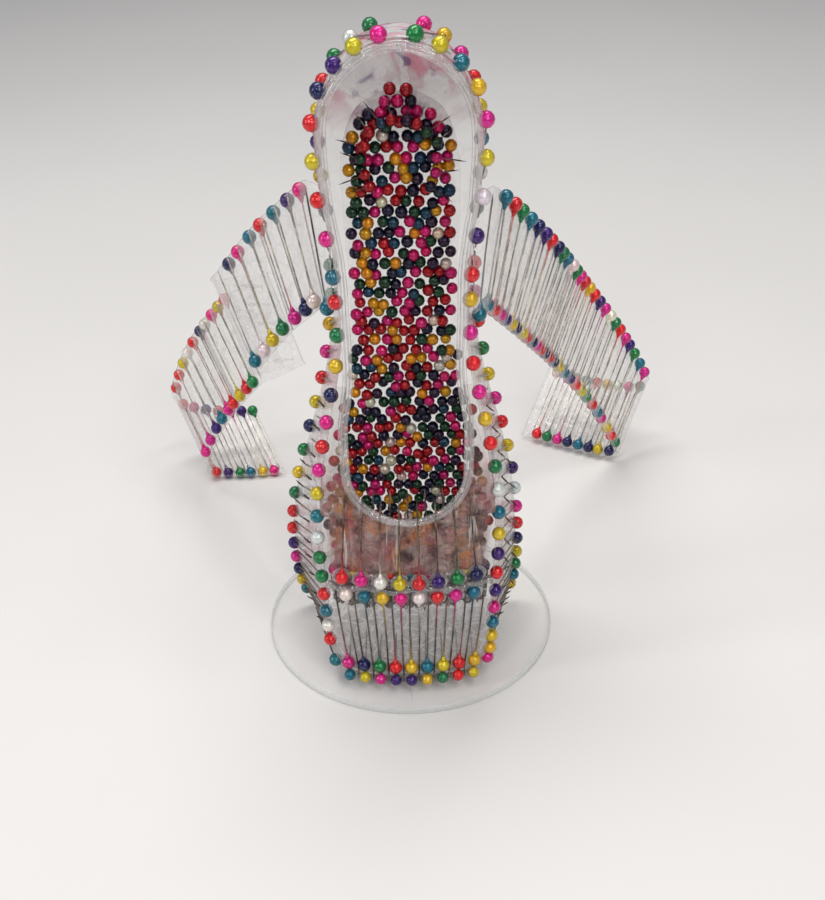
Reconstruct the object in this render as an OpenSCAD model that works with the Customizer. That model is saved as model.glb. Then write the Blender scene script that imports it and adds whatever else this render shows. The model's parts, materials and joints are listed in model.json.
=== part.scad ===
// A ballet pointe shoe made of clear film and glass-headed pins, standing on its toe on a clear disc,
// with two film ribbons that fold down behind it. Millimetres, +Z up, the opening faces -Y.

/* [Base] */
// Diameter of the clear disc
disc_d = 120; // [110:1:150]
// Thickness of the clear disc
disc_t = 3; // [2:0.5:5]

/* [Shoe] */
// Back face of the shoe, where the sole film lies
sole_y = 12; // [11:0.5:15]
// Front plane of the shoe, where the vamp edges and the heel rim lie
rim_y = -38; // [-41:0.5:-37]
// How far the vamp bows out in front of its edges
vamp_crown = 5; // [3:0.5:7]
// Thickness of the film that the shoe is made of
film_t = 1; // [0.8:0.1:1.2]
// Height where the two tiers of the vamp meet
seam_z = 49; // [46:1:52]
// Height of the lowest point of the opening
throat_z = 80; // [78:1:84]

/* [Pins] */
// Length of a pin from the head's centre to the tip
pin_l = 38; // [36:0.5:39]
// Diameter of a pin's shaft
shaft_d = 0.7; // [0.5:0.05:0.8]
// Diameter of the heads on the outside of the shoe
head_d = 4.6; // [4:0.1:5]
// Diameter of the heads inside the shoe
insole_head_d = 3.9; // [3.6:0.1:4]
// Spacing of the heads along a row of the insole
insole_pitch = 4.3; // [4.2:0.1:5]
// Length of the bent tips
hook_l = 4; // [3:0.5:5]

/* [Ribbons] */
// Width of a ribbon's film
ribbon_w = 41; // [41:0.5:44]
// Spacing of the pins along the right ribbon
right_pitch = 4; // [3.6:0.1:5]
// Spacing of the pins along the left ribbon
left_pitch = 4.8; // [4.4:0.1:6]
// Spacing of the pins along the folded tails
tail_pitch = 2.9; // [2.9:0.1:4]

/* [Hidden] */

film = [0.93, 0.92, 0.92, 0.5];
edge_film = [0.97, 0.97, 0.98, 0.6];
glass = ["deeppink", "crimson", "gold", "teal", "seagreen", "navy", "indigo", "ivory"];

// Outline of the back edge of the shoe, from the toe to the heel: half width and height
BACK = [
    [40, 3.6], [44, 12], [46, 26], [46, 44], [43, 66], [36.5, 92], [29.5, 118],
    [25.5, 146], [25.5, 174], [27, 200], [24, 221], [14, 234.5], [0, 239]
];
// Outline of the front edge, station by station beside the back edge
FRONT = [
    [27.5, 3.6], [30, 14], [31, 30], [32, 50], [32.5, 72], [31, 96], [26.5, 120],
    [21.5, 147], [21.5, 176], [25, 203], [24.5, 227], [14.5, 241.5], [0, 247]
];
// Half width and height of the insole, from toe to heel
INSOLE = [
    [20, 20], [29, 26], [34, 44], [34, 62], [30, 84], [23.5, 108], [20, 132],
    [19.5, 156], [20.5, 180], [20, 200], [15, 214], [6, 220]
];
// Half width and height of the opening above the throat
OPENING = [
    [22, 100], [22, 118], [19.5, 136], [19.5, 158], [20, 178], [23.2, 203], [22.8, 226],
    [13.5, 239.5], [0, 244.5]
];
TOE_END = 4.6;      // station where the toe side meets the quarter
QUARTER_END = 9;    // station where the quarter meets the heel cup
LAST = len(BACK) - 1;

// Ribbons: points along the lower edge, and the direction of the pin at each, up across the film
RIGHT_EDGE = [
    [27, -12, 150], [35, 6, 136], [49, 36, 111], [66, 72, 80], [88, 102, 43], [103, 119, 13],
    [107, 123, 4], [99, 125, 2], [80, 135, 2], [60, 147, 2]
];
RIGHT_PIN = [
    [0.12, 0.34, 0.93], [0.22, 0.44, 0.87], [0.33, 0.52, 0.79], [0.36, 0.56, 0.75], [0.37, 0.57, 0.73],
    [0.4, 0.56, 0.73], [0.4, 0.6, 0.7], [0.38, 0.66, 0.65], [0.4, 0.7, 0.59], [0.4, 0.7, 0.59]
];
RIGHT_FOLD = 5.5;   // place along the right ribbon where it folds back
LEFT_EDGE = [
    [-27, -13, 154], [-33, 0, 143], [-44, 12, 129], [-57, 26, 109], [-62, 34, 101], [-58, 41, 98], [-50, 45, 98]
];
LEFT_PIN = [
    [-0.14, 0.34, 0.93], [-0.25, 0.39, 0.89], [-0.3, 0.42, 0.86], [-0.35, 0.45, 0.82],
    [-0.36, 0.46, 0.81], [-0.36, 0.47, 0.8], [-0.36, 0.48, 0.8]
];
LEFT_FOLD = 3.6;    // place along the first left length where it folds back
SECOND_EDGE = [
    [-42, 50, 97], [-55, 57, 87], [-64, 65, 79], [-84, 92, 46], [-97, 104, 19],
    [-99, 110, 6], [-93, 113, 2], [-80, 113, 2], [-62, 115, 2]
];
SECOND_PIN = [
    [-0.36, 0.5, 0.79], [-0.38, 0.5, 0.78], [-0.4, 0.51, 0.76], [-0.42, 0.5, 0.75], [-0.4, 0.5, 0.77],
    [-0.4, 0.56, 0.72], [-0.4, 0.66, 0.63], [-0.4, 0.76, 0.51], [-0.4, 0.8, 0.45]
];
TAIL_FOLD = 4.5;    // place along the second left length where it folds back
fold_gap = 0.03;    // half the gap left at a fold, in steps along the ribbon

// --- helpers -------------------------------------------------------------------------------------

function unit(v) = v / norm(v);

// The point at place t along a smooth curve through the points of P
function along(P, t) = let (
    n = len(P) - 1, i = max(0, min(n - 1, floor(t))), u = t - i,
    a = i > 0 ? P[i - 1] : 2 * P[0] - P[1], b = P[i], c = P[i + 1],
    d = i + 2 <= n ? P[i + 2] : 2 * P[n] - P[n - 1]
) 0.5 * (2 * b + (c - a) * u + (2 * a - 5 * b + 4 * c - d) * u * u + (3 * b - a - 3 * c + d) * u * u * u);

// The same for an outline that closes on its mirror image at its last point
function outline(P, t) = along(concat(P, [[-P[len(P) - 2][0], P[len(P) - 2][1]]]), t);

// How far the ball of the shoe leans to one side at height z
function ball_shift(z) = -1.6 * exp(-pow((z - 42) / 34, 2));

// The half width at height z of an outline given as half widths and heights
function width_at(P, z, i = 0) = i >= len(P) - 2 || z <= P[i + 1][1]
    ? let (u = max(0, min(1, (z - P[i][1]) / (P[i + 1][1] - P[i][1])))) P[i][0] + (P[i + 1][0] - P[i][0]) * u
    : width_at(P, z, i + 1);

// A closed sheet of thickness t around a grid of points, rows by columns
module sheet(G, t) {
    r = len(G);
    c = len(G[0]);
    function slope(i, j) = cross(
        G[min(i + 1, r - 1)][j] - G[max(i - 1, 0)][j], G[i][min(j + 1, c - 1)] - G[i][max(j - 1, 0)]);
    P = [for (s = [0.5, -0.5], i = [0:r - 1], j = [0:c - 1]) G[i][j] + s * t * unit(slope(i, j))];
    function at(side, i, j) = side * r * c + i * c + j;
    polyhedron(P, concat(
        [for (i = [0:r - 2], j = [0:c - 2]) each [
            [at(0, i, j), at(0, i, j + 1), at(0, i + 1, j + 1)],
            [at(0, i, j), at(0, i + 1, j + 1), at(0, i + 1, j)],
            [at(1, i, j), at(1, i + 1, j + 1), at(1, i, j + 1)],
            [at(1, i, j), at(1, i + 1, j), at(1, i + 1, j + 1)]
        ]],
        [for (j = [0:c - 2]) each [
            [at(0, 0, j), at(1, 0, j), at(1, 0, j + 1)], [at(0, 0, j), at(1, 0, j + 1), at(0, 0, j + 1)],
            [at(0, r - 1, j), at(0, r - 1, j + 1), at(1, r - 1, j + 1)],
            [at(0, r - 1, j), at(1, r - 1, j + 1), at(1, r - 1, j)]
        ]],
        [for (i = [0:r - 2]) each [
            [at(0, i, 0), at(0, i + 1, 0), at(1, i + 1, 0)], [at(0, i, 0), at(1, i + 1, 0), at(1, i, 0)],
            [at(0, i, c - 1), at(1, i, c - 1), at(1, i + 1, c - 1)],
            [at(0, i, c - 1), at(1, i + 1, c - 1), at(0, i + 1, c - 1)]
        ]]
    ));
}

// Puts children that stand on +Z at p, pointing along v
module aim(p, v) {
    u = unit(v);
    translate(p) rotate([0, acos(max(-1, min(1, u[2]))), atan2(u[1], u[0])]) children();
}

// A pin with its head at p and its shaft along v; its tip turns along hook if that is given
module pin(p, v, l = pin_l, d = head_d, hook = [0, 0, 0], ink = 0) {
    color(glass[ink % len(glass)]) {
        aim(p, v) {
            sphere(d = d, $fn = 24);
            cylinder(h = l, d = shaft_d, $fn = 16);
        }
        if (norm(hook) > 0) {
            translate(p + unit(v) * l) sphere(d = shaft_d * 1.3, $fn = 16);
            aim(p + unit(v) * l, hook) cylinder(h = norm(hook), d = shaft_d, $fn = 16);
        }
    }
}

// --- base and shoe -------------------------------------------------------------------------------

module base_disc() {
    color([0.9, 0.95, 0.96, 0.4]) cylinder(h = disc_t, d = disc_d, $fn = 120);
}

// A point on the side of the shoe: station k, from the back edge at v = 0 to the front edge at v = 1
function side_point(k, v, side) = let (b = outline(BACK, k), f = outline(FRONT, k), q = b + (f - b) * v)
    [side * q[0] + ball_shift(q[1]) * (1 - v), sole_y + (rim_y - sole_y) * v, q[1]];

module side_film(k0, k1, side) {
    rows = ceil((k1 - k0) * 5);
    color(film) sheet([for (i = [0:rows]) [for (j = [0:6])
        side_point(k0 + (k1 - k0) * i / rows, side > 0 ? j / 6 : 1 - j / 6, side)]], film_t);
}

module left_toe_side() side_film(0.25, TOE_END, -1);
module right_toe_side() side_film(0.25, TOE_END, 1);
module left_quarter() side_film(TOE_END, QUARTER_END, -1);
module right_quarter() side_film(TOE_END, QUARTER_END, 1);

module heel_cup() {
    steps = 22;
    color(film) sheet([for (i = [-steps:steps])
        let (k = LAST - (LAST - QUARTER_END) * abs(i) / steps) [for (j = [0:6])
        let (p = side_point(min(k, LAST), j / 6, 1)) [sign(i) * p[0], p[1], p[2]]]], film_t);
}

function foot(inset) = [
    for (s = [1, -1]) each [for (a = [0:10:90]) let (c = s > 0 ? a : 90 - a)
        [s * (22 + (15 - inset) * cos(c)), sole_y - 16 + (16 - inset) * sin(c)]],
    for (s = [-1, 1]) each [for (a = [0:10:90]) let (c = s < 0 ? a : 90 - a)
        [s * (13 + (15 - inset) * cos(c)), rim_y + 10 - (10 + vamp_crown - 3 - inset) * sin(c)]]
];
glue_h = 0.6;
module toe_platform() {
    color(film) translate([0, 0, disc_t + glue_h]) linear_extrude(1.2) polygon(foot(0));
}
module toe_glue_pad() {
    color(edge_film) translate([0, 0, disc_t]) linear_extrude(glue_h) polygon(foot(3));
}

module outsole_film() {
    steps = 40;
    start = 0.25;
    inset = 0.8;
    edge = [for (side = [1, -1]) [for (i = [0:steps])
        let (p = side_point(start + (LAST - start) * i / steps, 0, side))
        [p[0] - side * inset * (1 - i / steps), p[2]]]];
    color(film) translate([0, sole_y + film_t / 2, 0]) rotate([90, 0, 0]) linear_extrude(film_t)
        polygon(concat(edge[0], [for (i = [steps - 1:-1:0]) edge[1][i]]));
}

insole_y = 3;
insole_t = 1.2;
module insole_sheet() {
    last = len(INSOLE) - 1;
    steps = 36;
    half = [for (i = [0:steps]) along(INSOLE, last * i / steps)];
    color(film) translate([0, insole_y + insole_t, 0]) rotate([90, 0, 0]) linear_extrude(insole_t)
        polygon(concat(half, [for (i = [steps:-1:0]) [-half[i][0], half[i][1]]]));
}

function front_width(z) = width_at([for (k = [0:0.25:LAST - 1]) outline(FRONT, k)], z);

function opening_width(z) = z < OPENING[0][1]
    ? OPENING[0][0] * sqrt(max(0, 1 - pow((OPENING[0][1] - z) / (OPENING[0][1] - throat_z), 2)))
    : width_at([for (k = [0:0.25:len(OPENING) - 2]) along(OPENING, k)], z);

// A point on the vamp at height z, u from -1 at the left edge to 1 at the right edge
function vamp_point(u, z) = [u * front_width(z), rim_y - vamp_crown * cos(90 * u), z];

module vamp_panel(z0, z1) {
    rows = ceil((z1 - z0) / 4);
    color(film) sheet([for (i = [0:rows]) [for (j = [-10:10])
        vamp_point(j / 10, z0 + (z1 - z0) * i / rows)]], film_t);
}
module vamp_lower_panel() vamp_panel(5.2, seam_z);
module vamp_upper_panel() vamp_panel(seam_z, throat_z);

wing_top = 134;
module wing(side) {
    steps = 16;
    color(film) sheet([for (i = [0:steps])
        let (z = throat_z + 0.4 + (wing_top - throat_z - 0.4) * pow(i / steps, 1.7))
        [for (j = [0:6]) let (
            a = max(opening_width(z) + 0.2, 0.6) / front_width(z),
            u = side > 0 ? a + (1 - a) * j / 6 : -1 + (1 - a) * j / 6
        ) vamp_point(u, z)]], film_t);
}
module left_vamp_wing() wing(-1);
module right_vamp_wing() wing(1);

// The middle line of the binding round the opening, for a from 0 at the throat to 1 at the heel
throat_share = 0.18;    // share of the binding's length that is the round of the throat
function opening_point(a, side) = let (
    turn = a / throat_share * 90,
    q = a < throat_share
        ? [OPENING[0][0] * sin(turn), OPENING[0][1] - (OPENING[0][1] - throat_z) * cos(turn)]
        : outline(OPENING, (a - throat_share) / (1 - throat_share) * (len(OPENING) - 1)),
    lift = q[1] < wing_top + 20 ? vamp_crown * cos(min(90, 90 * q[0] / front_width(q[1]))) : 0
) [side * q[0], rim_y - lift * max(0, min(1, (wing_top + 20 - q[1]) / 40)) - 0.4, q[1]];

module opening_binding() {
    steps = 40;
    wide = 3.2;
    deep = 2.2;
    ring = [
        for (i = [0:steps]) opening_point(i / steps, 1),
        for (i = [steps - 1:-1:1]) opening_point(i / steps, -1)
    ];
    corners = [[-1, -1], [1, -1], [1, 1], [-1, 1]];
    n = len(ring);
    P = [for (i = [0:n - 1]) let (
        g = unit(ring[(i + 1) % n] - ring[(i + n - 1) % n]), o = unit(cross(g, [0, 1, 0]))
    ) each [for (c = corners) ring[i] + o * c[0] * wide / 2 + [0, c[1] * deep / 2, 0]]];
    color(edge_film) polyhedron(P, [for (i = [0:n - 1], c = [0:3]) let (j = (i + 1) % n, d = (c + 1) % 4) each [
        [4 * i + c, 4 * i + d, 4 * j + d], [4 * i + c, 4 * j + d, 4 * j + c]]]);
}

// --- pins of the shoe ----------------------------------------------------------------------------

insole_pin_l = 10;
insole_jitter = 0.14;
// Places of the insole's heads between two heights, in staggered rows
function insole_spots(z0, z1) = [for (r = [0:60]) let (z = 24 + r * insole_pitch * 0.866) if (z >= z0 && z < z1)
    let (w = width_at(INSOLE, z) - 1.4, shift = (r % 2) * insole_pitch / 2)
    each [for (c = [-9:9]) let (x = c * insole_pitch + shift) if (abs(x) < w) [x, z, r * 19 + c + 9]]];

module insole_pins(z0, z1, loose) {
    spots = insole_spots(z0, z1);
    n = len(spots);
    wander = rands(-1, 1, 4 * n, 7 + z0);
    for (i = [0:n - 1]) let (s = spots[i], w = [for (k = [0:3]) wander[4 * i + k]])
        pin([
            s[0] + loose * w[0] * insole_jitter,
            insole_y - insole_head_d * 0.42 - loose * abs(w[1]) * 0.5,
            s[1] + loose * w[2] * insole_jitter
        ], [loose * w[3] * 0.04, 0.9, -0.44], l = insole_pin_l, d = insole_head_d - 0.1 * abs(w[0]),
            ink = floor(s[2] * 7.3));
}
module toe_insole_pins() insole_pins(20, 64, 0.4);
module ball_insole_pins() insole_pins(64, 108, 0.5);
module waist_insole_pins() insole_pins(108, 164, 0.8);
module heel_insole_pins() insole_pins(164, 222, 1);

stray_pin_l = 10;
strays = 13;
module heel_stray_pins() {
    for (i = [0:strays]) let (a = -35 + i * 250 / strays, out = [cos(a), 0, sin(a)])
        pin([12.5 * out[0], insole_y - 5.6, 199 + 14 * out[2]],
            out + [0, 0.1 - 0.15 * (i % 3), 0.5 * ((i % 2) - 0.3)],
            l = stray_pin_l - 2 * (i % 2), d = insole_head_d - 0.4, ink = 3 * i);
}

side_pins = 35;
first_station = 0.62;
last_station = 7.6;
heel_station = 7.9;
heel_step = 0.235;
side_rise = 0.82;   // how many stations a side pin rises from the back edge to the front edge
function side_station(i) = first_station + i * (last_station - first_station) / (side_pins - 1);

// A pin laid across the side of the shoe from station k; at_front says which edge has its head
module side_pin(k, side, at_front, ink, hooked = true) {
    rise = side_rise + max(0, k - heel_station) * 0.12;
    far = at_front ? k - min(rise, 0.32 + (k - first_station) * 0.61) : k + min(rise, (LAST - k) * 0.7);
    a = side_point(k, at_front ? 0.97 : 0.03, side);
    b = side_point(far, at_front ? 0.03 : 0.97, side);
    t = side_point(k + 0.1, 0.5, side) - side_point(k - 0.1, 0.5, side);
    out = unit(cross(b - a, t)) * ((at_front ? 1 : -1) * side);
    bend = [0, 0, side < 0 || k < 2.2 ? 1 : -1];
    pin(a + out * 1.1, b - a + [0, 0, 1.2 * sin(97 * ink)], l = pin_l, d = head_d, ink = ink,
        hook = hooked ? unit(out * 0.9 + bend) * hook_l : [0, 0, 0]);
}

module side_pins(side, at_front) {
    for (i = [at_front ? 0 : 1:2:side_pins - 1])
        side_pin(side_station(i), side, at_front, i * 5 + (side > 0 ? 3 : 0), hooked = i < 24);
}
module left_side_front_pins() side_pins(-1, true);
module left_side_back_pins() side_pins(-1, false);
module right_side_front_pins() side_pins(1, true);
module right_side_back_pins() side_pins(1, false);

module heel_pins(at_front) {
    for (side = [-1, 1], i = [at_front ? 0 : 1:2:16])
        side_pin(heel_station + i * heel_step, side, at_front, i * 3 + 2 * side + 4, hooked = false);
}
module heel_rim_pins() heel_pins(true);
module heel_back_pins() heel_pins(false);

// A pin on the vamp that stands from one height to another at fan position u
module vamp_pin(u0, z0, u1, z1, proud, ink, hook = [0, 0, 0]) {
    p = vamp_point(u0, z0) - [0, proud, 0];
    q = vamp_point(u1, z1) - [0, proud, 0];
    pin(p, q - p, ink = ink, hook = hook);
}
module vamp_throat_pins() {
    for (i = [0:7]) vamp_pin(-0.8 + i * 0.228, seam_z + 3 + 1.5 * abs(i - 3.5) / 3.5,
        -0.72 + i * 0.206, seam_z + 40, 1, i * 3 + 1);
}
module vamp_inner_pins() {
    for (i = [0:8]) vamp_pin(-0.88 + i * 0.22, seam_z + 5, -0.8 + i * 0.2, seam_z + 43, -3.6, i * 5 + 2);
}
module vamp_falling_pins() {
    for (i = [0:7]) vamp_pin(-0.77 + i * 0.22, seam_z - 3.5, -0.74 + i * 0.211, seam_z - 41, 1, i * 7 + 7,
        hook = [0, -2.6, -2.4]);
}
module vamp_rising_pins() {
    for (i = [0:8]) vamp_pin(-0.86 + i * 0.215, 10.4, -0.9 + i * 0.225, 47.9, 1, i * 3);
}
toe_pin_l = 30;
module toe_tip_pins() {
    for (i = [0:8]) let (u = -0.88 + i * 0.22)
        pin(vamp_point(u, 6) - [0, 3.6, 0], [0, 1, 0], l = toe_pin_l, d = head_d - 0.6, ink = i * 3 + 3);
}

module vamp_seam_glue() {
    for (i = [-5:5]) let (p = vamp_point(i / 5.5, seam_z - 0.4 + 0.7 * sin(130 * i)))
        color(edge_film) translate(p + [0, 0.4, 0]) sphere(d = 4 + 0.7 * sin(77 * i), $fn = 20);
}

// --- ribbons -------------------------------------------------------------------------------------

// The point at place t along a ribbon, v across it from the lower edge at 0 to the upper at 1
function strip_point(E, D, t, v) = along(E, t) + unit(along(D, t)) * ribbon_w * v;

module strip_film(E, D, t0, t1) {
    rows = ceil((t1 - t0) * 8);
    color(film) sheet([for (i = [0:rows]) [for (j = [0:3])
        strip_point(E, D, t0 + (t1 - t0) * i / rows, j / 3)]], film_t);
}

// Places from t0 to t1 that are pitch apart along the lower edge
function paces(E, t0, t1, pitch) = let (
    fine = [for (t = t0; t <= t1; t = t + 0.05) t],
    way = [for (i = 0, s = 0; i < len(fine);
        s = s + (i + 1 < len(fine) ? norm(along(E, fine[i + 1]) - along(E, fine[i])) : 0), i = i + 1) s],
    count = floor(way[len(way) - 1] / pitch)
) [for (k = [0:count])
    let (at = [for (i = [0:len(way) - 1]) if (way[i] <= k * pitch) i])
    fine[at[len(at) - 1]]];

// Every second pin of a ribbon, with its head at the top edge and its shaft on one face of the
// film, or with its head at the bottom edge and its shaft on the other face
weave = 1.15;
module strip_pins(E, D, t0, t1, pitch, top, ink) {
    spots = paces(E, t0, t1, pitch);
    for (i = [top ? 0 : 1:2:len(spots) - 1]) let (
        t = spots[i], go = along(E, t + 0.05) - along(E, t - 0.05),
        off = unit(cross(go, along(D, t))) * (top ? weave : -weave),
        low = strip_point(E, D, t, 0.04) + off, high = strip_point(E, D, t, 0.97) + off
    ) if (top) pin(high, low - high, ink = floor(ink + i * 2.6));
        else pin(low + unit(high - low) * 1.2, high - low, ink = floor(ink + 3 + i * 2.3));
}

module left_ribbon_first_film() strip_film(LEFT_EDGE, LEFT_PIN, 0.1, LEFT_FOLD - fold_gap);
module left_ribbon_first_top_pins() strip_pins(LEFT_EDGE, LEFT_PIN, 0.35, LEFT_FOLD - 0.3, left_pitch, true, 0);
module left_ribbon_first_bottom_pins()
    strip_pins(LEFT_EDGE, LEFT_PIN, 0.35, LEFT_FOLD - 0.3, left_pitch, false, 0);
module left_fold_film() strip_film(LEFT_EDGE, LEFT_PIN, LEFT_FOLD + fold_gap, 6);
module left_ribbon_second_film() strip_film(SECOND_EDGE, SECOND_PIN, 0, TAIL_FOLD - fold_gap);
module left_ribbon_second_top_pins()
    strip_pins(SECOND_EDGE, SECOND_PIN, 1.9, TAIL_FOLD - 0.2, left_pitch, true, 1);
module left_ribbon_second_bottom_pins()
    strip_pins(SECOND_EDGE, SECOND_PIN, 1.9, TAIL_FOLD - 0.2, left_pitch, false, 1);
module left_tail_film() strip_film(SECOND_EDGE, SECOND_PIN, TAIL_FOLD + fold_gap, 8);
module left_tail_top_pins() strip_pins(SECOND_EDGE, SECOND_PIN, 5.4, 7.95, tail_pitch, true, 5);
module left_tail_bottom_pins() strip_pins(SECOND_EDGE, SECOND_PIN, 5.4, 7.95, tail_pitch, false, 4);
module right_ribbon_film() strip_film(RIGHT_EDGE, RIGHT_PIN, 0.1, RIGHT_FOLD - fold_gap);
module right_ribbon_top_pins() strip_pins(RIGHT_EDGE, RIGHT_PIN, 0.35, RIGHT_FOLD - 0.15, right_pitch, true, 2);
module right_ribbon_bottom_pins()
    strip_pins(RIGHT_EDGE, RIGHT_PIN, 0.35, RIGHT_FOLD - 0.15, right_pitch, false, 2);
module right_tail_film() strip_film(RIGHT_EDGE, RIGHT_PIN, RIGHT_FOLD + fold_gap, 9);
module right_tail_top_pins() strip_pins(RIGHT_EDGE, RIGHT_PIN, 6.45, 8.95, tail_pitch, true, 3);
module right_tail_bottom_pins() strip_pins(RIGHT_EDGE, RIGHT_PIN, 6.45, 8.95, tail_pitch, false, 3);

module left_lap_glue() {
    for (v = [0.1:0.2:0.9]) let (
        a = strip_point(LEFT_EDGE, LEFT_PIN, 5.7, v), b = strip_point(SECOND_EDGE, SECOND_PIN, 0.3, v)
    ) color(edge_film) hull() {
            translate(a) sphere(d = 2, $fn = 16);
            translate(b) sphere(d = 2, $fn = 16);
        }
}

// The tab that holds a ribbon's root on the shoe's side, and the pin that the ribbon turns on
module root_tab(E, D, side) {
    color(film) hull() for (v = [0.02, 0.98]) let (p = strip_point(E, D, 0, v)) {
        translate(p) sphere(d = 1.6, $fn = 16);
        translate([side * 24.2, p[1] - 7, p[2]]) sphere(d = 1.6, $fn = 16);
    }
}
module left_root_tab() root_tab(LEFT_EDGE, LEFT_PIN, -1);
module right_root_tab() root_tab(RIGHT_EDGE, RIGHT_PIN, 1);
module root_pin(E, D, ink) {
    p = strip_point(E, D, 0, -0.06);
    pin(p, strip_point(E, D, 0, 1) - p, l = ribbon_w, d = head_d, ink = ink);
}
module left_root_pin() root_pin(LEFT_EDGE, LEFT_PIN, 3);
module right_root_pin() root_pin(RIGHT_EDGE, RIGHT_PIN, 3);

base_disc();
toe_glue_pad();
toe_platform();
left_toe_side();
right_toe_side();
left_quarter();
right_quarter();
heel_cup();
outsole_film();
insole_sheet();
vamp_lower_panel();
vamp_upper_panel();
left_vamp_wing();
right_vamp_wing();
opening_binding();
vamp_seam_glue();
toe_insole_pins();
ball_insole_pins();
waist_insole_pins();
heel_insole_pins();
heel_stray_pins();
heel_rim_pins();
heel_back_pins();
left_side_front_pins();
left_side_back_pins();
right_side_front_pins();
right_side_back_pins();
vamp_throat_pins();
vamp_inner_pins();
vamp_falling_pins();
vamp_rising_pins();
toe_tip_pins();
left_root_tab();
right_root_tab();
left_root_pin();
right_root_pin();
left_ribbon_first_film();
left_ribbon_first_top_pins();
left_ribbon_first_bottom_pins();
left_fold_film();
left_ribbon_second_film();
left_lap_glue();
left_ribbon_second_top_pins();
left_ribbon_second_bottom_pins();
left_tail_film();
left_tail_top_pins();
left_tail_bottom_pins();
right_ribbon_film();
right_ribbon_top_pins();
right_ribbon_bottom_pins();
right_tail_film();
right_tail_top_pins();
right_tail_bottom_pins();
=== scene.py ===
"""Looks for a ballet pointe shoe of clear film and ball-headed pins, on its toe on a clear disc."""

import json
import math
import random

import bmesh
import bpy
import numpy as np
from mathutils import Matrix, Vector, noise

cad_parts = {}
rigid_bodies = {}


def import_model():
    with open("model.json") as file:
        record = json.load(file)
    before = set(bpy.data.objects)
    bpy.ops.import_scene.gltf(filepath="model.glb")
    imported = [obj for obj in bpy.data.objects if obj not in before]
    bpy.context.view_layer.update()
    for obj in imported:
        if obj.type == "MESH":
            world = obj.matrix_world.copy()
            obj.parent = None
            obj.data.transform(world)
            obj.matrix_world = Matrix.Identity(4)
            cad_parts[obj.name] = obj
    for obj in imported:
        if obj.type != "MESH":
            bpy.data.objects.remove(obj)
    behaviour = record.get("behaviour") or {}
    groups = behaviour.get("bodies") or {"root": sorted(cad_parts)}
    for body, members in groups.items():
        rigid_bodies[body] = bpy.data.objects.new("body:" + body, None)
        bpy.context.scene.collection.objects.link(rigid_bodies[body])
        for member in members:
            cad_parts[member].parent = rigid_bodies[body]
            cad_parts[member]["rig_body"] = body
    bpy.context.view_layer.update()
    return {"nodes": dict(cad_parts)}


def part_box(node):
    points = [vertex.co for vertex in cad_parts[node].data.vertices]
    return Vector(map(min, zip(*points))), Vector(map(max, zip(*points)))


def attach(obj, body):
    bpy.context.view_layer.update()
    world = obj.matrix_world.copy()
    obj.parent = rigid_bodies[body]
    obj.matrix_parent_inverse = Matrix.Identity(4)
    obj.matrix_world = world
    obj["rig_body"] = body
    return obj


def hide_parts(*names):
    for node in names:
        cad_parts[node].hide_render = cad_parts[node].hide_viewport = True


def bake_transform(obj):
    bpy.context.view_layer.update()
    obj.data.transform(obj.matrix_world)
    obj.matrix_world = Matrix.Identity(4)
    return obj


bl_info = {
    "name": "Film and Pin Pointe Shoe",
    "version": (1, 0, 0),
    "blender": (4, 5, 0),
    "location": "View3D > Sidebar > Pointe Shoe",
    "description": "Builds a pointe shoe of clear film and ball-headed pins around its packed CAD model",
    "category": "Add Mesh",
}

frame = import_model()
MM = 0.001
NODES = frame["nodes"]

# --- shape of the films, as the part's source draws it, in millimetres ---------------------------

SOLE_Y, RIM_Y, VAMP_CROWN = 12.0, -38.0, 5.0
SEAM_Z, THROAT_Z, WING_TOP = 49.0, 80.0, 134.0
TOE_END, QUARTER_END, LAST = 4.6, 9.0, 12.0
RIBBON_WIDTH = 41.0
BACK = [
    (40, 3.6), (44, 12), (46, 26), (46, 44), (43, 66), (36.5, 92), (29.5, 118),
    (25.5, 146), (25.5, 174), (27, 200), (24, 221), (14, 234.5), (0, 239),
]
FRONT = [
    (27.5, 3.6), (30, 14), (31, 30), (32, 50), (32.5, 72), (31, 96), (26.5, 120),
    (21.5, 147), (21.5, 176), (25, 203), (24.5, 227), (14.5, 241.5), (0, 247),
]
INSOLE = [
    (20, 20), (29, 26), (34, 44), (34, 62), (30, 84), (23.5, 108), (20, 132),
    (19.5, 156), (20.5, 180), (20, 200), (15, 214), (6, 220),
]
OPENING = [
    (22, 100), (22, 118), (19.5, 136), (19.5, 158), (20, 178), (23.2, 203), (22.8, 226),
    (13.5, 239.5), (0, 244.5),
]
RIGHT_EDGE = [
    (27, -12, 150), (35, 6, 136), (49, 36, 111), (66, 72, 80), (88, 102, 43), (103, 119, 13),
    (107, 123, 4), (99, 125, 2), (80, 135, 2), (60, 147, 2),
]
RIGHT_PIN = [
    (0.12, 0.34, 0.93), (0.22, 0.44, 0.87), (0.33, 0.52, 0.79), (0.36, 0.56, 0.75), (0.37, 0.57, 0.73),
    (0.4, 0.56, 0.73), (0.4, 0.6, 0.7), (0.38, 0.66, 0.65), (0.4, 0.7, 0.59), (0.4, 0.7, 0.59),
]
LEFT_EDGE = [
    (-27, -13, 154), (-33, 0, 143), (-44, 12, 129), (-57, 26, 109), (-62, 34, 101), (-58, 41, 98),
    (-50, 45, 98),
]
LEFT_PIN = [
    (-0.14, 0.34, 0.93), (-0.25, 0.39, 0.89), (-0.3, 0.42, 0.86), (-0.35, 0.45, 0.82),
    (-0.36, 0.46, 0.81), (-0.36, 0.47, 0.8), (-0.36, 0.48, 0.8),
]
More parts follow.
